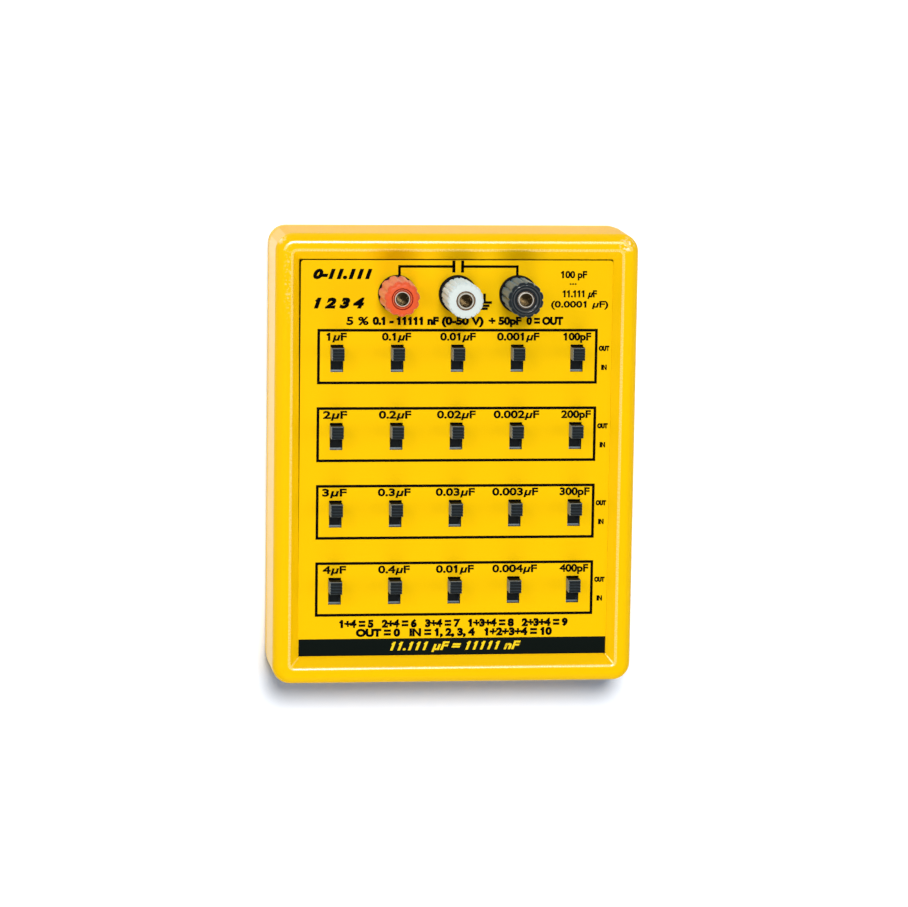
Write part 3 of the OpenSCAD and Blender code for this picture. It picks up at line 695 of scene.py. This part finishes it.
# %% Soft edges and wall thickness
CREASE_SOFT = 0.42 * MM
TRAY_SOFT = 0.5 * MM
FOOT_SOFT = 0.12 * MM
WALL = 2.2 * MM
PLAIN, POLISHED_HIGHLIGHT, SIDE, END, CORNER = range(5)


def edge_of_land(e, least, most):
    faces = [f.normal.z for f in e.link_faces]
    on_rim = min(v.co.z for v in e.verts) > RIM_Z - 0.01 * MM and not e.is_boundary
    return on_rim and max(faces) > 0.999 and least < min(faces) < most


def tray_foot(e):
    level = all(abs(v.co.z - PANEL_Z) < 0.01 * MM for v in e.verts)
    return level and len(e.link_faces) == 2


def lower_mitre(f):
    x, y = abs(f.normal.x), f.normal.y
    return f.calc_center_median().y < 0 and 0.5 < f.normal.z < 0.95 and y > 0.3 and 0.75 < x / y < 1.33


def on_wall(f):
    return f.calc_center_median().z < RIM_Z - 4 * MM


for mat in (case_plastic, edge_polish_highlight, side_plastic, shaded_end_plastic, shaded_corner_plastic):
    front_skin.data.materials.append(mat)
paint(front_skin, SIDE, lambda f: on_wall(f) and abs(f.normal.x) > 0.7)
# End walls and corners take the darker yellow of painted shade.
paint(front_skin, END, lambda f: on_wall(f) and abs(f.normal.y) > 0.7)
paint(front_skin, CORNER, lambda f: on_wall(f) and 0.4 < abs(f.normal.x) < 0.92)
# Three patches of painted glints: along the left land, at the right corner of the head and at its left
# corner.
painted_glints(case_plastic, (-53.1, 57, 35), (1.8, 14, 6), (1.0, 0.68, 0.17), 0.52, 0.68)
painted_glints(case_plastic, (53, 68, 35), (2.7, 2.7, 6), (1.0, 0.88, 0.6), 0.46, 0.58)
for mat in (case_plastic, shaded_corner_plastic):
    painted_glints(mat, (-56, 70.2, 34), (2.5, 2.5, 4), (1.0, 0.85, 0.5), 0.42, 0.58)
# Of the crease only the head keeps the paler polished strips, which carry the painted highlight.
count = pick(front_skin, "EDGE", lambda e: edge_of_land(e, 0.9, 0.99))
bpy.ops.mesh.bevel(offset=CREASE_SOFT, segments=4, affect="EDGES", material=POLISHED_HIGHLIGHT)
paint(front_skin, PLAIN, lambda f: f.material_index == POLISHED_HIGHLIGHT and f.calc_center_median().y < land_l / 2)
paint(front_skin, POLISHED_HIGHLIGHT, lower_mitre)
count_tray = pick(front_skin, "EDGE", lambda e: edge_of_land(e, -2, 0.94))
bpy.ops.mesh.bevel(offset=TRAY_SOFT, segments=4, affect="EDGES", material=POLISHED_HIGHLIGHT)
count_foot = pick(front_skin, "EDGE", tray_foot)
bpy.ops.mesh.bevel(offset=FOOT_SOFT, segments=2, affect="EDGES")
close()
print("softened", count, "crease edges,", count_tray, "tray edges and", count_foot, "foot edges")

apply_modifier(front_skin, "SOLIDIFY", thickness=WALL, offset=-1, use_even_offset=True)
dress(front_skin, case_plastic, "case")
apply_modifier(front_skin, "WEIGHTED_NORMAL", keep_sharp=True)
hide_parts("front_case")

# %% [markdown]
# ## Printed marks
#
# The panel is screen printed: frames round the rows of switches, their values, and a circuit sign
# that joins the posts. Ink lies on the paint as a skin three hundredths of a millimetre thick, so
# the marks are drawn flat and given that thickness together. A stroke is a stretched plane.

# %% Strokes and frames
INK = 0.03 * MM
INK_Z = PANEL_Z - 0.004 * MM
LINE = 0.85
FRAME_LEFT = -43.82
FRAME_RIGHT = 44.62
FRAME_TOP = 41.3
FRAME_TALL = 17.37
ROWS = 4
ROW_PITCH = 24.6
strokes = []


def stroke(left, low, right, high):
    bpy.ops.object.select_all(action="DESELECT")
    middle_x, middle_y = (left + right) / 2 * MM, (low + high) / 2 * MM
    bpy.ops.mesh.primitive_plane_add(size=1, location=(middle_x, middle_y, INK_Z))
    mark = bpy.context.object
    mark.scale = ((right - left) * MM, (high - low) * MM, 1)
    freeze()
    return mark


for row in range(ROWS):
    top = FRAME_TOP - row * ROW_PITCH
    ring = stroke(FRAME_LEFT, top - FRAME_TALL, FRAME_RIGHT, top)
    edit(ring)
    bpy.ops.mesh.select_all(action="SELECT")
    bpy.ops.mesh.inset(thickness=LINE * MM)
    bpy.ops.mesh.delete(type="FACE")
    close()
    strokes.append(ring)
print(len(strokes), "frames")

# %% [markdown]
# The circuit sign is a capacitor between the outer posts, with a ground sign beside the middle one.

# %% Circuit sign
SIGN = 0.8
PLATE = 0.95
for left, low, right, high in (
    (-18.73, 57.0, -18.73 + SIGN, 60.88 + SIGN / 2),
    (-18.73, 60.88 - SIGN / 2, -0.8, 60.88 + SIGN / 2),
    (-0.8 - PLATE, 59.0, -0.8, 62.75),
    (1.0, 59.0, 1.0 + PLATE, 62.75),
    (1.0, 60.88 - SIGN / 2, 19.15, 60.88 + SIGN / 2),
    (19.15 - SIGN, 56.8, 19.15, 60.88 + SIGN / 2),
    (8.54 - SIGN / 2, 49.59, 8.54 + SIGN / 2, 52.4),
    (6.2, 49.59 - SIGN / 2, 10.91, 49.59 + SIGN / 2),
    (6.9, 48.58 - SIGN / 2, 10.14, 48.58 + SIGN / 2),
    (7.5, 47.64 - SIGN / 2, 9.62, 47.64 + SIGN / 2),
):
    strokes.append(stroke(left, low, right, high))
print(len(strokes), "strokes with the circuit sign")

# %% [markdown]
# Words come from Blender's own font, turned into mesh. Flat ink is given its thickness, and its
# walls are then pushed outwards, which makes letters bold. The height of the font's H is measured,
# so that lettering can be given the height that the print has.

# %% Words and ink
def text_mesh(words, lean):
    bpy.ops.object.select_all(action="DESELECT")
    bpy.ops.object.text_add()
    text = bpy.context.object
    text.data.body = words
    text.data.resolution_u = 3
    text.data.shear = lean
    bpy.ops.object.convert(target="MESH")
    return bpy.context.object


def size_of(mark):
    xs = [v.co.x for v in mark.data.vertices]
    ys = [v.co.y for v in mark.data.vertices]
    return min(xs), max(xs), min(ys), max(ys)


def inked(mark, spread=0.0):
    edit(mark)
    pick(mark, "FACE", lambda f: f.normal.z < 0)
    bpy.ops.mesh.flip_normals()
    close()
    apply_modifier(mark, "SOLIDIFY", thickness=INK, offset=1)
    if spread > 0:
        edit(mark)
        bpy.ops.mesh.select_all(action="SELECT")
        bpy.ops.transform.shrink_fatten(value=spread, use_even_offset=True)
        for top, level in ((True, INK_Z + INK), (False, INK_Z)):
            pick(mark, "VERT", lambda v: (v.co.z > INK_Z + INK / 2) == top)
            bpy.ops.transform.resize(value=(1, 1, 0), center_override=(0, 0, level))
        close()


letter_h = text_mesh("H", 0)
H_TALL = max(v.co.y for v in letter_h.data.vertices)
bpy.data.objects.remove(letter_h)
print("capital height of the font", round(H_TALL, 3))

# %% [markdown]
# Some signs need help. The font's figure one is a plain bar, so it gets a small slanting flag, and
# a bar that stands for a capital I gets none. The micro sign is slanted. The bars of an equals sign
# are moved apart by as much as bold ink grows, or they would touch.

# %% Signs
MU_SLANT = Matrix(((1, 0.28, 0, 0), (0, 1, 0, 0), (0, 0, 1, 0), (0, 0, 0, 1)))
FLAG_LONG = 0.32
FLAG_BACK = 0.42
FLAG_DROP = 0.34
FLAG_TURN = math.radians(38)
BAR_CORNERS = 8


def flag_for(bar, tall, thick):
    left, right, low, high = size_of(bar)
    long = FLAG_LONG * tall
    place = (right - thick / 2 - FLAG_BACK * long, high - 0.2 * thick - FLAG_DROP * long, INK_Z)
    bpy.ops.object.select_all(action="DESELECT")
    bpy.ops.mesh.primitive_plane_add(size=1, location=place, rotation=(0, 0, FLAG_TURN))
    flag = bpy.context.object
    flag.scale = (long, thick, 1)
    freeze()
    return flag


def is_rule(mark):
    x0, x1, y0, y1 = size_of(mark)
    return len(mark.data.vertices) <= BAR_CORNERS and x1 - x0 > 3 * (y1 - y0)


def part_equals(letters, gap):
    rules = [one for one in letters if is_rule(one)]
    for lower in rules:
        x, y = size_of(lower)[0], size_of(lower)[2]
        for upper in rules:
            left, right, low, high = size_of(upper)
            if upper is not lower and abs(left - x) < 0.05 * MM and low > y:
                lower.data.transform(Matrix.Translation((0, -gap, 0)))
                upper.data.transform(Matrix.Translation((0, gap, 0)))


def slant_mu(letters, base, tall):
    for letter in letters:
        x0, x1, y0, y1 = size_of(letter)
        if base - y0 > 0.1 * tall and y1 < base + 0.85 * tall and x1 - x0 > 0.3 * tall:
            centre = Vector(((x0 + x1) / 2, (y0 + y1) / 2, INK_Z))
            letter.data.transform(Matrix.Translation(centre) @ MU_SLANT @ Matrix.Translation(-centre))


print("a figure one's flag is", FLAG_LONG, "of its height")

# %% [markdown]
# A line of lettering is stretched to fill its place on the panel. Its letters are parted, mended
# where they need it, and joined into one piece of ink.

# %% Lettering
def lettering(words, left, right, base, tall, bold, lean=0.0):
    mark = text_mesh(words, lean)
    low_x, high_x = size_of(mark)[:2]
    wide = (right - left - 2 * bold) * MM / (high_x - low_x)
    high = (tall - 2 * bold) * MM / H_TALL
    mark.scale = (wide, high, 1)
    mark.location = ((left + bold) * MM - low_x * wide, (base + bold) * MM, INK_Z)
    freeze()
    edit(mark)
    bpy.ops.mesh.separate(type="LOOSE")
    close()
    letters = list(bpy.context.selected_objects)
    part_equals(letters, bold * MM)
    if "µ" in words and lean == 0:
        slant_mu(letters, base * MM, tall * MM)
    bars = []
    for letter in letters:
        x0, x1, y0, y1 = size_of(letter)
        thick = x1 - x0 - lean * (y1 - y0) * wide / high
        upright = y1 - y0 > 0.8 * tall * MM and thick < 0.3 * tall * MM
        if len(letter.data.vertices) <= BAR_CORNERS and upright:
            bars.append((x0, thick, letter))
    bars.sort(key=lambda b: b[0])
    kinds = [c for c in words if c in "1I"]
    flags = [flag_for(bar[2], tall * MM, bar[1]) for kind, bar in zip(kinds, bars) if kind == "1"]
    word = joined("words", letters)
    inked(word, bold * MM)
    if flags:
        tips = joined("tips", flags)
        inked(tips, bold * MM / 2)
        tips.data.transform(Matrix.Translation((0, 0, -0.1 * INK)))
        word = joined("words", [word, tips])
    return word


print("signs that are mended: 1 µ =")

# %% [markdown]
# Each switch carries the value that it adds. A column is a decade, and the rows add one, two,
# three and four steps of it, so any digit can be made. Beside each frame stand OUT and IN. The
# printed words differ a little in width from row to row, and a 2, 3 or 4 is wider than a 1.

# %% Values
VALUES = [
    ["1µF", "0.1µF", "0.01µF", "0.001µF", "100pF"],
    ["2µF", "0.2µF", "0.02µF", "0.002µF", "200pF"],
    ["3µF", "0.3µF", "0.03µF", "0.003µF", "300pF"],
    ["4µF", "0.4µF", "0.01µF", "0.004µF", "400pF"],
]
SPANS = [(-40.5, -34.6), (-23.58, -14.4), (-5.25, 5.95), (12.69, 26.11), (34.2, 42.56)]
ROW_STARTS = (0, -0.7, -0.75, -0.35)
ROW_ENDS = (0, 0.35, 0.45, 0.5)
WIDE_FIGURE = 0.6
VALUE_BASE = 37.62
VALUE_TALL = 2.48
ENDS = (("OUT", 45.05, 48.4, 34.3, 1.66, 0.165), ("IN", 45.93, 47.7, 28.26, 1.7, 0.155))

lines = joined("lines", strokes)
inked(lines)
marks = [lines]
for row, values in enumerate(VALUES):
    down = row * ROW_PITCH
    for column, (words, (left, right)) in enumerate(zip(values, SPANS)):
        start = left + ROW_STARTS[row] - (WIDE_FIGURE if row > 0 and column == 0 else 0)
        end = right + ROW_ENDS[row]
        marks.append(lettering(words, start, end, VALUE_BASE - down, VALUE_TALL, 0.15))
    for words, left, right, base, tall, bold in ENDS:
        marks.append(lettering(words, left, right, base - down, tall, bold))
print(len(marks), "marks with the values")

# %% [markdown]
# The other lines hold plain figures and units: the tolerance and voltage above the first row, the
# range in the upper corners, and below the last row the sums that make five to ten.

# %% Other figures
for words, left, right, base, tall, bold in (
    ("5 %", -34.76, -27.8, 42.52, 2.6, 0.15),
    ("0.1 - 11111 nF", -26.57, -5.8, 42.52, 2.6, 0.24),
    ("(0-50 V)", -4.85, 8.37, 42.52, 2.6, 0.24),
    ("+ 50pF", 9.94, 20.33, 42.52, 2.6, 0.22),
    ("0 = OUT", 21.9, 33.56, 42.52, 2.6, 0.22),
    ("100 pF", 32.98, 40.87, 57.25, 2.28, 0.135),
    ("...", 35.4, 37.6, 55.2, 2.0, 0.08),
    ("11.111 µF", 33.6, 44.1, 51.24, 2.24, 0.14),
    ("(0.0001 µF)", 29.61, 47.79, 48.0, 2.1, 0.12),
    ("1+4 = 5   2+4 = 6   3+4 = 7   1+3+4 = 8   2+3+4 = 9", -35.66, 36.81, -53.6, 2.6, 0.25),
    ("OUT = 0   IN = 1, 2, 3, 4   1+2+3+4 = 10", -30.78, 31.79, -56.5, 2.6, 0.25),
):
    marks.append(lettering(words, left, right, base, tall, bold))
marks.append(lettering("0-11.111", -45.26, -26.9, 56.9, 3.2, bold=0.34, lean=0.25))
marks.append(lettering("1 2 3 4", -44.87, -29.21, 47.7, 3.4, bold=0.34, lean=0.25))

printed_marks = joined("printed_marks", marks)
dress(printed_marks, black_ink, "case", smooth=20)
print(len(marks), "marks in all")

# %% [markdown]
# A black bar crosses the foot of the panel, with the whole range in yellow on it.

# %% Bar
bar = stroke(-48.9, -62.55, 49.0, -57.1)
bar.name = "printed_bar"
inked(bar)
dress(bar, bar_ink, "case", smooth=20)
bar_words = lettering("11.111 µF = 11111 nF", -19.81, 21.8, -60.95, 2.75, bold=0.17, lean=0.3)
bar_words.name = "bar_lettering"
bar_words.data.transform(Matrix.Translation((0, 0, 0.8 * INK)))
dress(bar_words, yellow_ink, "case", smooth=20)
print("the bar is", round(bar.dimensions.x / MM, 1), "mm long")

# %% [markdown]
# ## Slide switches
#
# A slider is one moulding: a knob with five grip ridges on a flat carrier that shows in the lower
# half of its slot. The knob is a block cut into strips across its length, and every second pair of
# strips is pushed down between the ridges. Its rolled edges toward the upper left are painted light
# grey as a painted highlight, its left side is painted a little paler than the rest as painted light,
# and the side toward the head of the box is painted near black as painted shade.

# %% Knob
KNOB_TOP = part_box("slider_10nF")[1][2]
KNOB_W = 3.92 * MM
KNOB_L = 4.0 * MM
KNOB_SHIFT = -0.3 * MM
RIDGES = 5
STRIPS = 4 * (RIDGES - 1) + 1
STRIP = KNOB_L / STRIPS
GRIP_DEEP = 0.3 * MM
KNOB_ROLL = 0.42 * MM
CARRIER_W = 6 * MM
CARRIER_L = 11.9 * MM
CARRIER_T = 1.6 * MM
CARRIER_TOP = PANEL_Z - 1.95 * MM


def in_groove(v):
    number = round((v.co.y + KNOB_L / 2) / STRIP)
    return v.co.z > KNOB_TOP - 0.01 * MM and number % 4 in (2, 3)


def side_of_top(e):
    inner = all(v.co.z > KNOB_TOP - 0.5 * MM for v in e.verts)
    same_side = e.verts[0].co.x * e.verts[1].co.x > 0
    end_edge = all(abs(v.co.y) > KNOB_L / 2 - 0.01 * MM for v in e.verts)
    return inner and (same_side or end_edge)


def rolled(f):
    place = f.calc_center_median()
    outer = place.x < -KNOB_W / 2 + KNOB_ROLL or place.y > KNOB_L / 2 - KNOB_ROLL
    return outer and 0.2 < f.normal.z < 0.95 and (f.normal.x < -0.3 or f.normal.y > 0.3)


knob_foot = CARRIER_TOP - 0.2 * MM
knob = block("knob", (-KNOB_W / 2, -KNOB_L / 2, knob_foot), (KNOB_W / 2, KNOB_L / 2, KNOB_TOP))
edit(knob)
pick(knob, "EDGE", lambda e: abs(e.verts[0].co.y - e.verts[1].co.y) > MM)
bpy.ops.mesh.subdivide(number_cuts=STRIPS - 1)
pick(knob, "VERT", in_groove)
bpy.ops.transform.translate(value=(0, 0, -GRIP_DEEP))
pick(knob, "EDGE", side_of_top)
bpy.ops.mesh.bevel(offset=KNOB_ROLL, segments=4, affect="EDGES", clamp_overlap=True)
for mat in (slider_plastic, knob_edge, knob_side_lit, knob_shade):
    knob.data.materials.append(mat)
# Slot 1 takes the painted highlight, slot 2 the painted light of the left side, slot 3 the painted shade of
# the head side.
for index, wanted in (
    (1, rolled),
    (2, lambda f: abs(f.normal.z) < 0.2 and f.normal.x < -0.7),
    (3, lambda f: abs(f.normal.z) < 0.2 and f.normal.y > 0.7),
):
    paint(knob, index, wanted)
bpy.ops.mesh.select_all(action="SELECT")
bpy.ops.transform.translate(value=(0, KNOB_SHIFT, 0))
close()
print("knob", round(KNOB_W / MM, 1), "x", round(KNOB_L / MM, 1), "mm with", RIDGES, "ridges")

# %% [markdown]
# The carrier has a shallow channel along each side of its middle, which reads as a dark line next
# to the slot's edge. Both blocks are joined and their edges rounded, and twenty copies are made,
# each with its own mesh, set over the solid that it stands for.

# %% Carrier and twenty sliders
CHANNEL_IN = 1.5 * MM
CHANNEL_OUT = 1.95 * MM
CHANNEL_DEEP = 0.6 * MM
EDGE_SOFT = 0.1 * MM


def in_channel(off_middle):
    return CHANNEL_IN < off_middle < CHANNEL_OUT


carrier = block(
    "carrier",
    (-CARRIER_W / 2, -CARRIER_L / 2, CARRIER_TOP - CARRIER_T),
    (CARRIER_W / 2, CARRIER_L / 2, CARRIER_TOP),
)
carrier.data.materials.append(slider_plastic)
edit(carrier)
for x in (-CHANNEL_OUT, -CHANNEL_IN, CHANNEL_IN, CHANNEL_OUT):
    bpy.ops.mesh.select_all(action="SELECT")
    bpy.ops.mesh.bisect(plane_co=(x, 0, 0), plane_no=(1, 0, 0))
pick(carrier, "FACE", lambda f: f.normal.z > 0.9 and in_channel(abs(f.calc_center_median().x)))
bpy.ops.mesh.extrude_region_move(TRANSFORM_OT_translate={"value": (0, 0, -CHANNEL_DEEP)})
close()

slider = joined("slider", [knob, carrier])
sharp = math.radians(60)
apply_modifier(slider, "BEVEL", width=EDGE_SOFT, segments=2, limit_method="ANGLE", angle_limit=sharp)

sliders = [name for name in nodes if name.startswith("slider_")]
for name in sliders:
    copy = slider.copy()
    copy.data = slider.data.copy()
    copy.name = name + "_moulding"
    copy.data.name = copy.name
    bpy.context.collection.objects.link(copy)
    only(copy)
    copy.location = (*middle_of(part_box(name)), 0)
    freeze()
    dress(copy, slider_plastic, name)
    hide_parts(name)
bpy.data.objects.remove(slider)
print(len(sliders), "sliders")

# %% [markdown]
# ## Binding-post caps
#
# A cap is a fluted tube. Its outside is one ring of corners drawn upwards: at chosen corners the
# ring is pulled in towards the axis, which makes the flutes, and the last steps shrink it into a
# rounded crown.

# %% Outside of a cap
CAP_R = 5.55 * MM
PER_FLUTE = 8
FLARE_STEPS = 6
CROWN_STEPS = 5
COLLAR_STEP = 0.25 * MM
LEVEL_SLACK = 0.01 * MM
WIDE_FLUTE = {0: 1.0, 1: 0.66, 7: 0.66, 2: 0.14, 6: 0.14}
NARROW_FLUTE = {0: 1.0, 1: 0.35, 7: 0.35}


def open_ring(corners, radius, grow=1.0, height=0.0):
    bpy.ops.object.select_all(action="DESELECT")
    bpy.ops.mesh.primitive_circle_add(
        vertices=corners, radius=radius, fill_type="NOTHING", location=(0, 0, height)
    )
    bpy.context.object.scale = (grow, grow, 1)
    freeze()
    edit(bpy.context.object)
    bpy.ops.mesh.select_all(action="SELECT")
    return bpy.context.object


def draw_up(height, grow):
    bpy.ops.mesh.extrude_region_move(TRANSFORM_OT_translate={"value": (0, 0, height)})
    bpy.ops.transform.resize(value=(grow, grow, 1))


def pull_flutes(skin, level, corners, deep, shares):
    def at_level(v):
        return abs(v.co.z - level) < LEVEL_SLACK

    for step, share in shares.items():
        def here(v):
            turned = round(math.atan2(v.co.x, v.co.y) / (2 * math.pi) * corners) % PER_FLUTE
            return turned == step and at_level(v)
        pick(skin, "VERT", here)
        shrink = 1 - share * deep / CAP_R
        bpy.ops.transform.resize(value=(shrink, shrink, 1))
    pick(skin, "EDGE", lambda e: all(at_level(v) for v in e.verts))


def fluted_skin(corners, tall, deep, shares, flare, collar, crown):
    skin = open_ring(corners, CAP_R, flare)
    start = 0.0
    if collar > 0:
        draw_up(collar, 1)
        draw_up(COLLAR_STEP, 1)
        start = collar + COLLAR_STEP
    pull_flutes(skin, start, corners, deep, shares)
    for step in range(FLARE_STEPS):
        draw_up((tall - crown - start) / FLARE_STEPS, flare ** (-1 / FLARE_STEPS))
    radius = CAP_R
    for step in range(CROWN_STEPS):
        a = math.pi / 2 * step / CROWN_STEPS
        b = math.pi / 2 * (step + 1) / CROWN_STEPS
        smaller = radius - crown * (math.cos(a) - math.cos(b))
        draw_up(crown * (math.sin(b) - math.sin(a)), smaller / radius)
        radius = smaller
    close()
    return skin


print("a cap is", round(2 * CAP_R / MM, 1), "mm wide before its flare")

# %% [markdown]
# Its bore is a second, plain ring with the same number of corners, drawn down through the levels
# of the face, each a radius and a depth in millimetres. Bridging the two at the crown and at the
# foot closes the cap.

# %% Bore and cap
UNDER = [(3.35, 0.9), (4.75, 0.85), (4.75, 0.0)]


def stepped_bore(corners, tall, face):
    levels = [(radius, tall / MM - down) for radius, down in face] + UNDER
    bore = open_ring(corners, levels[0][0] * MM, height=levels[0][1] * MM)
    for (r0, z0), (r1, z1) in zip(levels, levels[1:]):
        draw_up((z1 - z0) * MM, r1 / r0)
    close()
    return bore


def fluted_cap(name, foot, tall, flutes, deep, shares, flare, collar, crown, face):
    corners = flutes * PER_FLUTE
    skin = fluted_skin(corners, tall, deep, shares, flare, collar, crown)
    cap = joined(name, [skin, stepped_bore(corners, tall, face)])
    edit(cap)
    for near_top in (True, False):
        pick(cap, "EDGE", lambda e: e.is_boundary and (e.verts[0].co.z > tall / 2) == near_top)
        bpy.ops.mesh.bridge_edge_loops()
    bpy.ops.mesh.select_all(action="SELECT")
    bpy.ops.mesh.normals_make_consistent(inside=False)
    close()
    cap.location = foot
    only(cap)
    freeze()
    return cap


print("levels under a cap:", len(UNDER))

# %% [markdown]
# The three caps come from three moulds. The red one has a lip round the socket behind a thin groove,
# painted a darker red as painted shade, the white one has fine flutes above a plain collar and an open
# bore that shows the brass insert, and the black one has a dished face with two steps, whose slants are
# glossy.

# %% Three caps
RED_FACE = [(3.36, 0), (3.3, 0.1), (3.26, 0.7), (3.1, 0.7), (3.05, 0.14), (2.88, 0.08), (2.74, 0.24),
            (2.72, 0.72), (3.35, 0.74)]
WHITE_FACE = [(4.0, 0.06), (3.7, 0), (3.2, 0.03), (3.04, 0.12), (2.98, 0.3), (2.98, 0.68), (3.35, 0.72)]
BLACK_FACE = [(4.66, 0.02), (4.5, 0.14), (4.36, 0.42), (3.86, 0.44), (3.54, 0.6), (3.48, 0.66), (3.3, 0.68),
              (2.95, 0.62), (2.76, 0.66), (2.72, 0.72), (3.35, 0.74)]
RINGS = {"red": (red_groove_shade, [(3.05, 3.34)]), "black": (black_gloss, [(3.5, 3.84), (4.5, 4.66)])}


def ring_faces(cap, centre, mat, rings):
    def in_ring(f):
        away = f.calc_center_median() - Vector(centre)
        far = math.hypot(away.x, away.y) / MM
        inward = f.normal.x * away.x + f.normal.y * away.y < 0
        return away.z > -MM and any(low < far < high for low, high in rings) and (inward or far < 4)

    cap.data.materials.append(mat)
    edit(cap)
    count = paint(cap, 1, in_ring)
    close()
    print(cap.name, "has", count, "faces in rings of", mat.name)


for colour, mat, flutes, deep, shares, flare, collar, crown, face in (
    ("red", red_plastic, 11, 0.5 * MM, WIDE_FLUTE, 1.06, 0, 1.3 * MM, RED_FACE),
    ("white", white_plastic, 18, 0.34 * MM, NARROW_FLUTE, 0.965, 1.1 * MM, 0.85 * MM, WHITE_FACE),
    ("black", black_plastic, 12, 0.5 * MM, NARROW_FLUTE, 0.97, 0, 0.85 * MM, BLACK_FACE),
):
    low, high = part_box(colour + "_cap")
    foot = (*middle_of(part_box(colour + "_stud")), low[2])
    name = colour + "_cap_moulding"
    cap = fluted_cap(name, foot, high[2] - low[2], flutes, deep, shares, flare, collar, crown, face)
    cap.data.materials.append(mat)
    if colour in RINGS:
        ring_faces(cap, (foot[0], foot[1], high[2]), *RINGS[colour])
    dress(cap, mat, colour + "_cap", smooth=40)
    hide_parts(colour + "_cap")
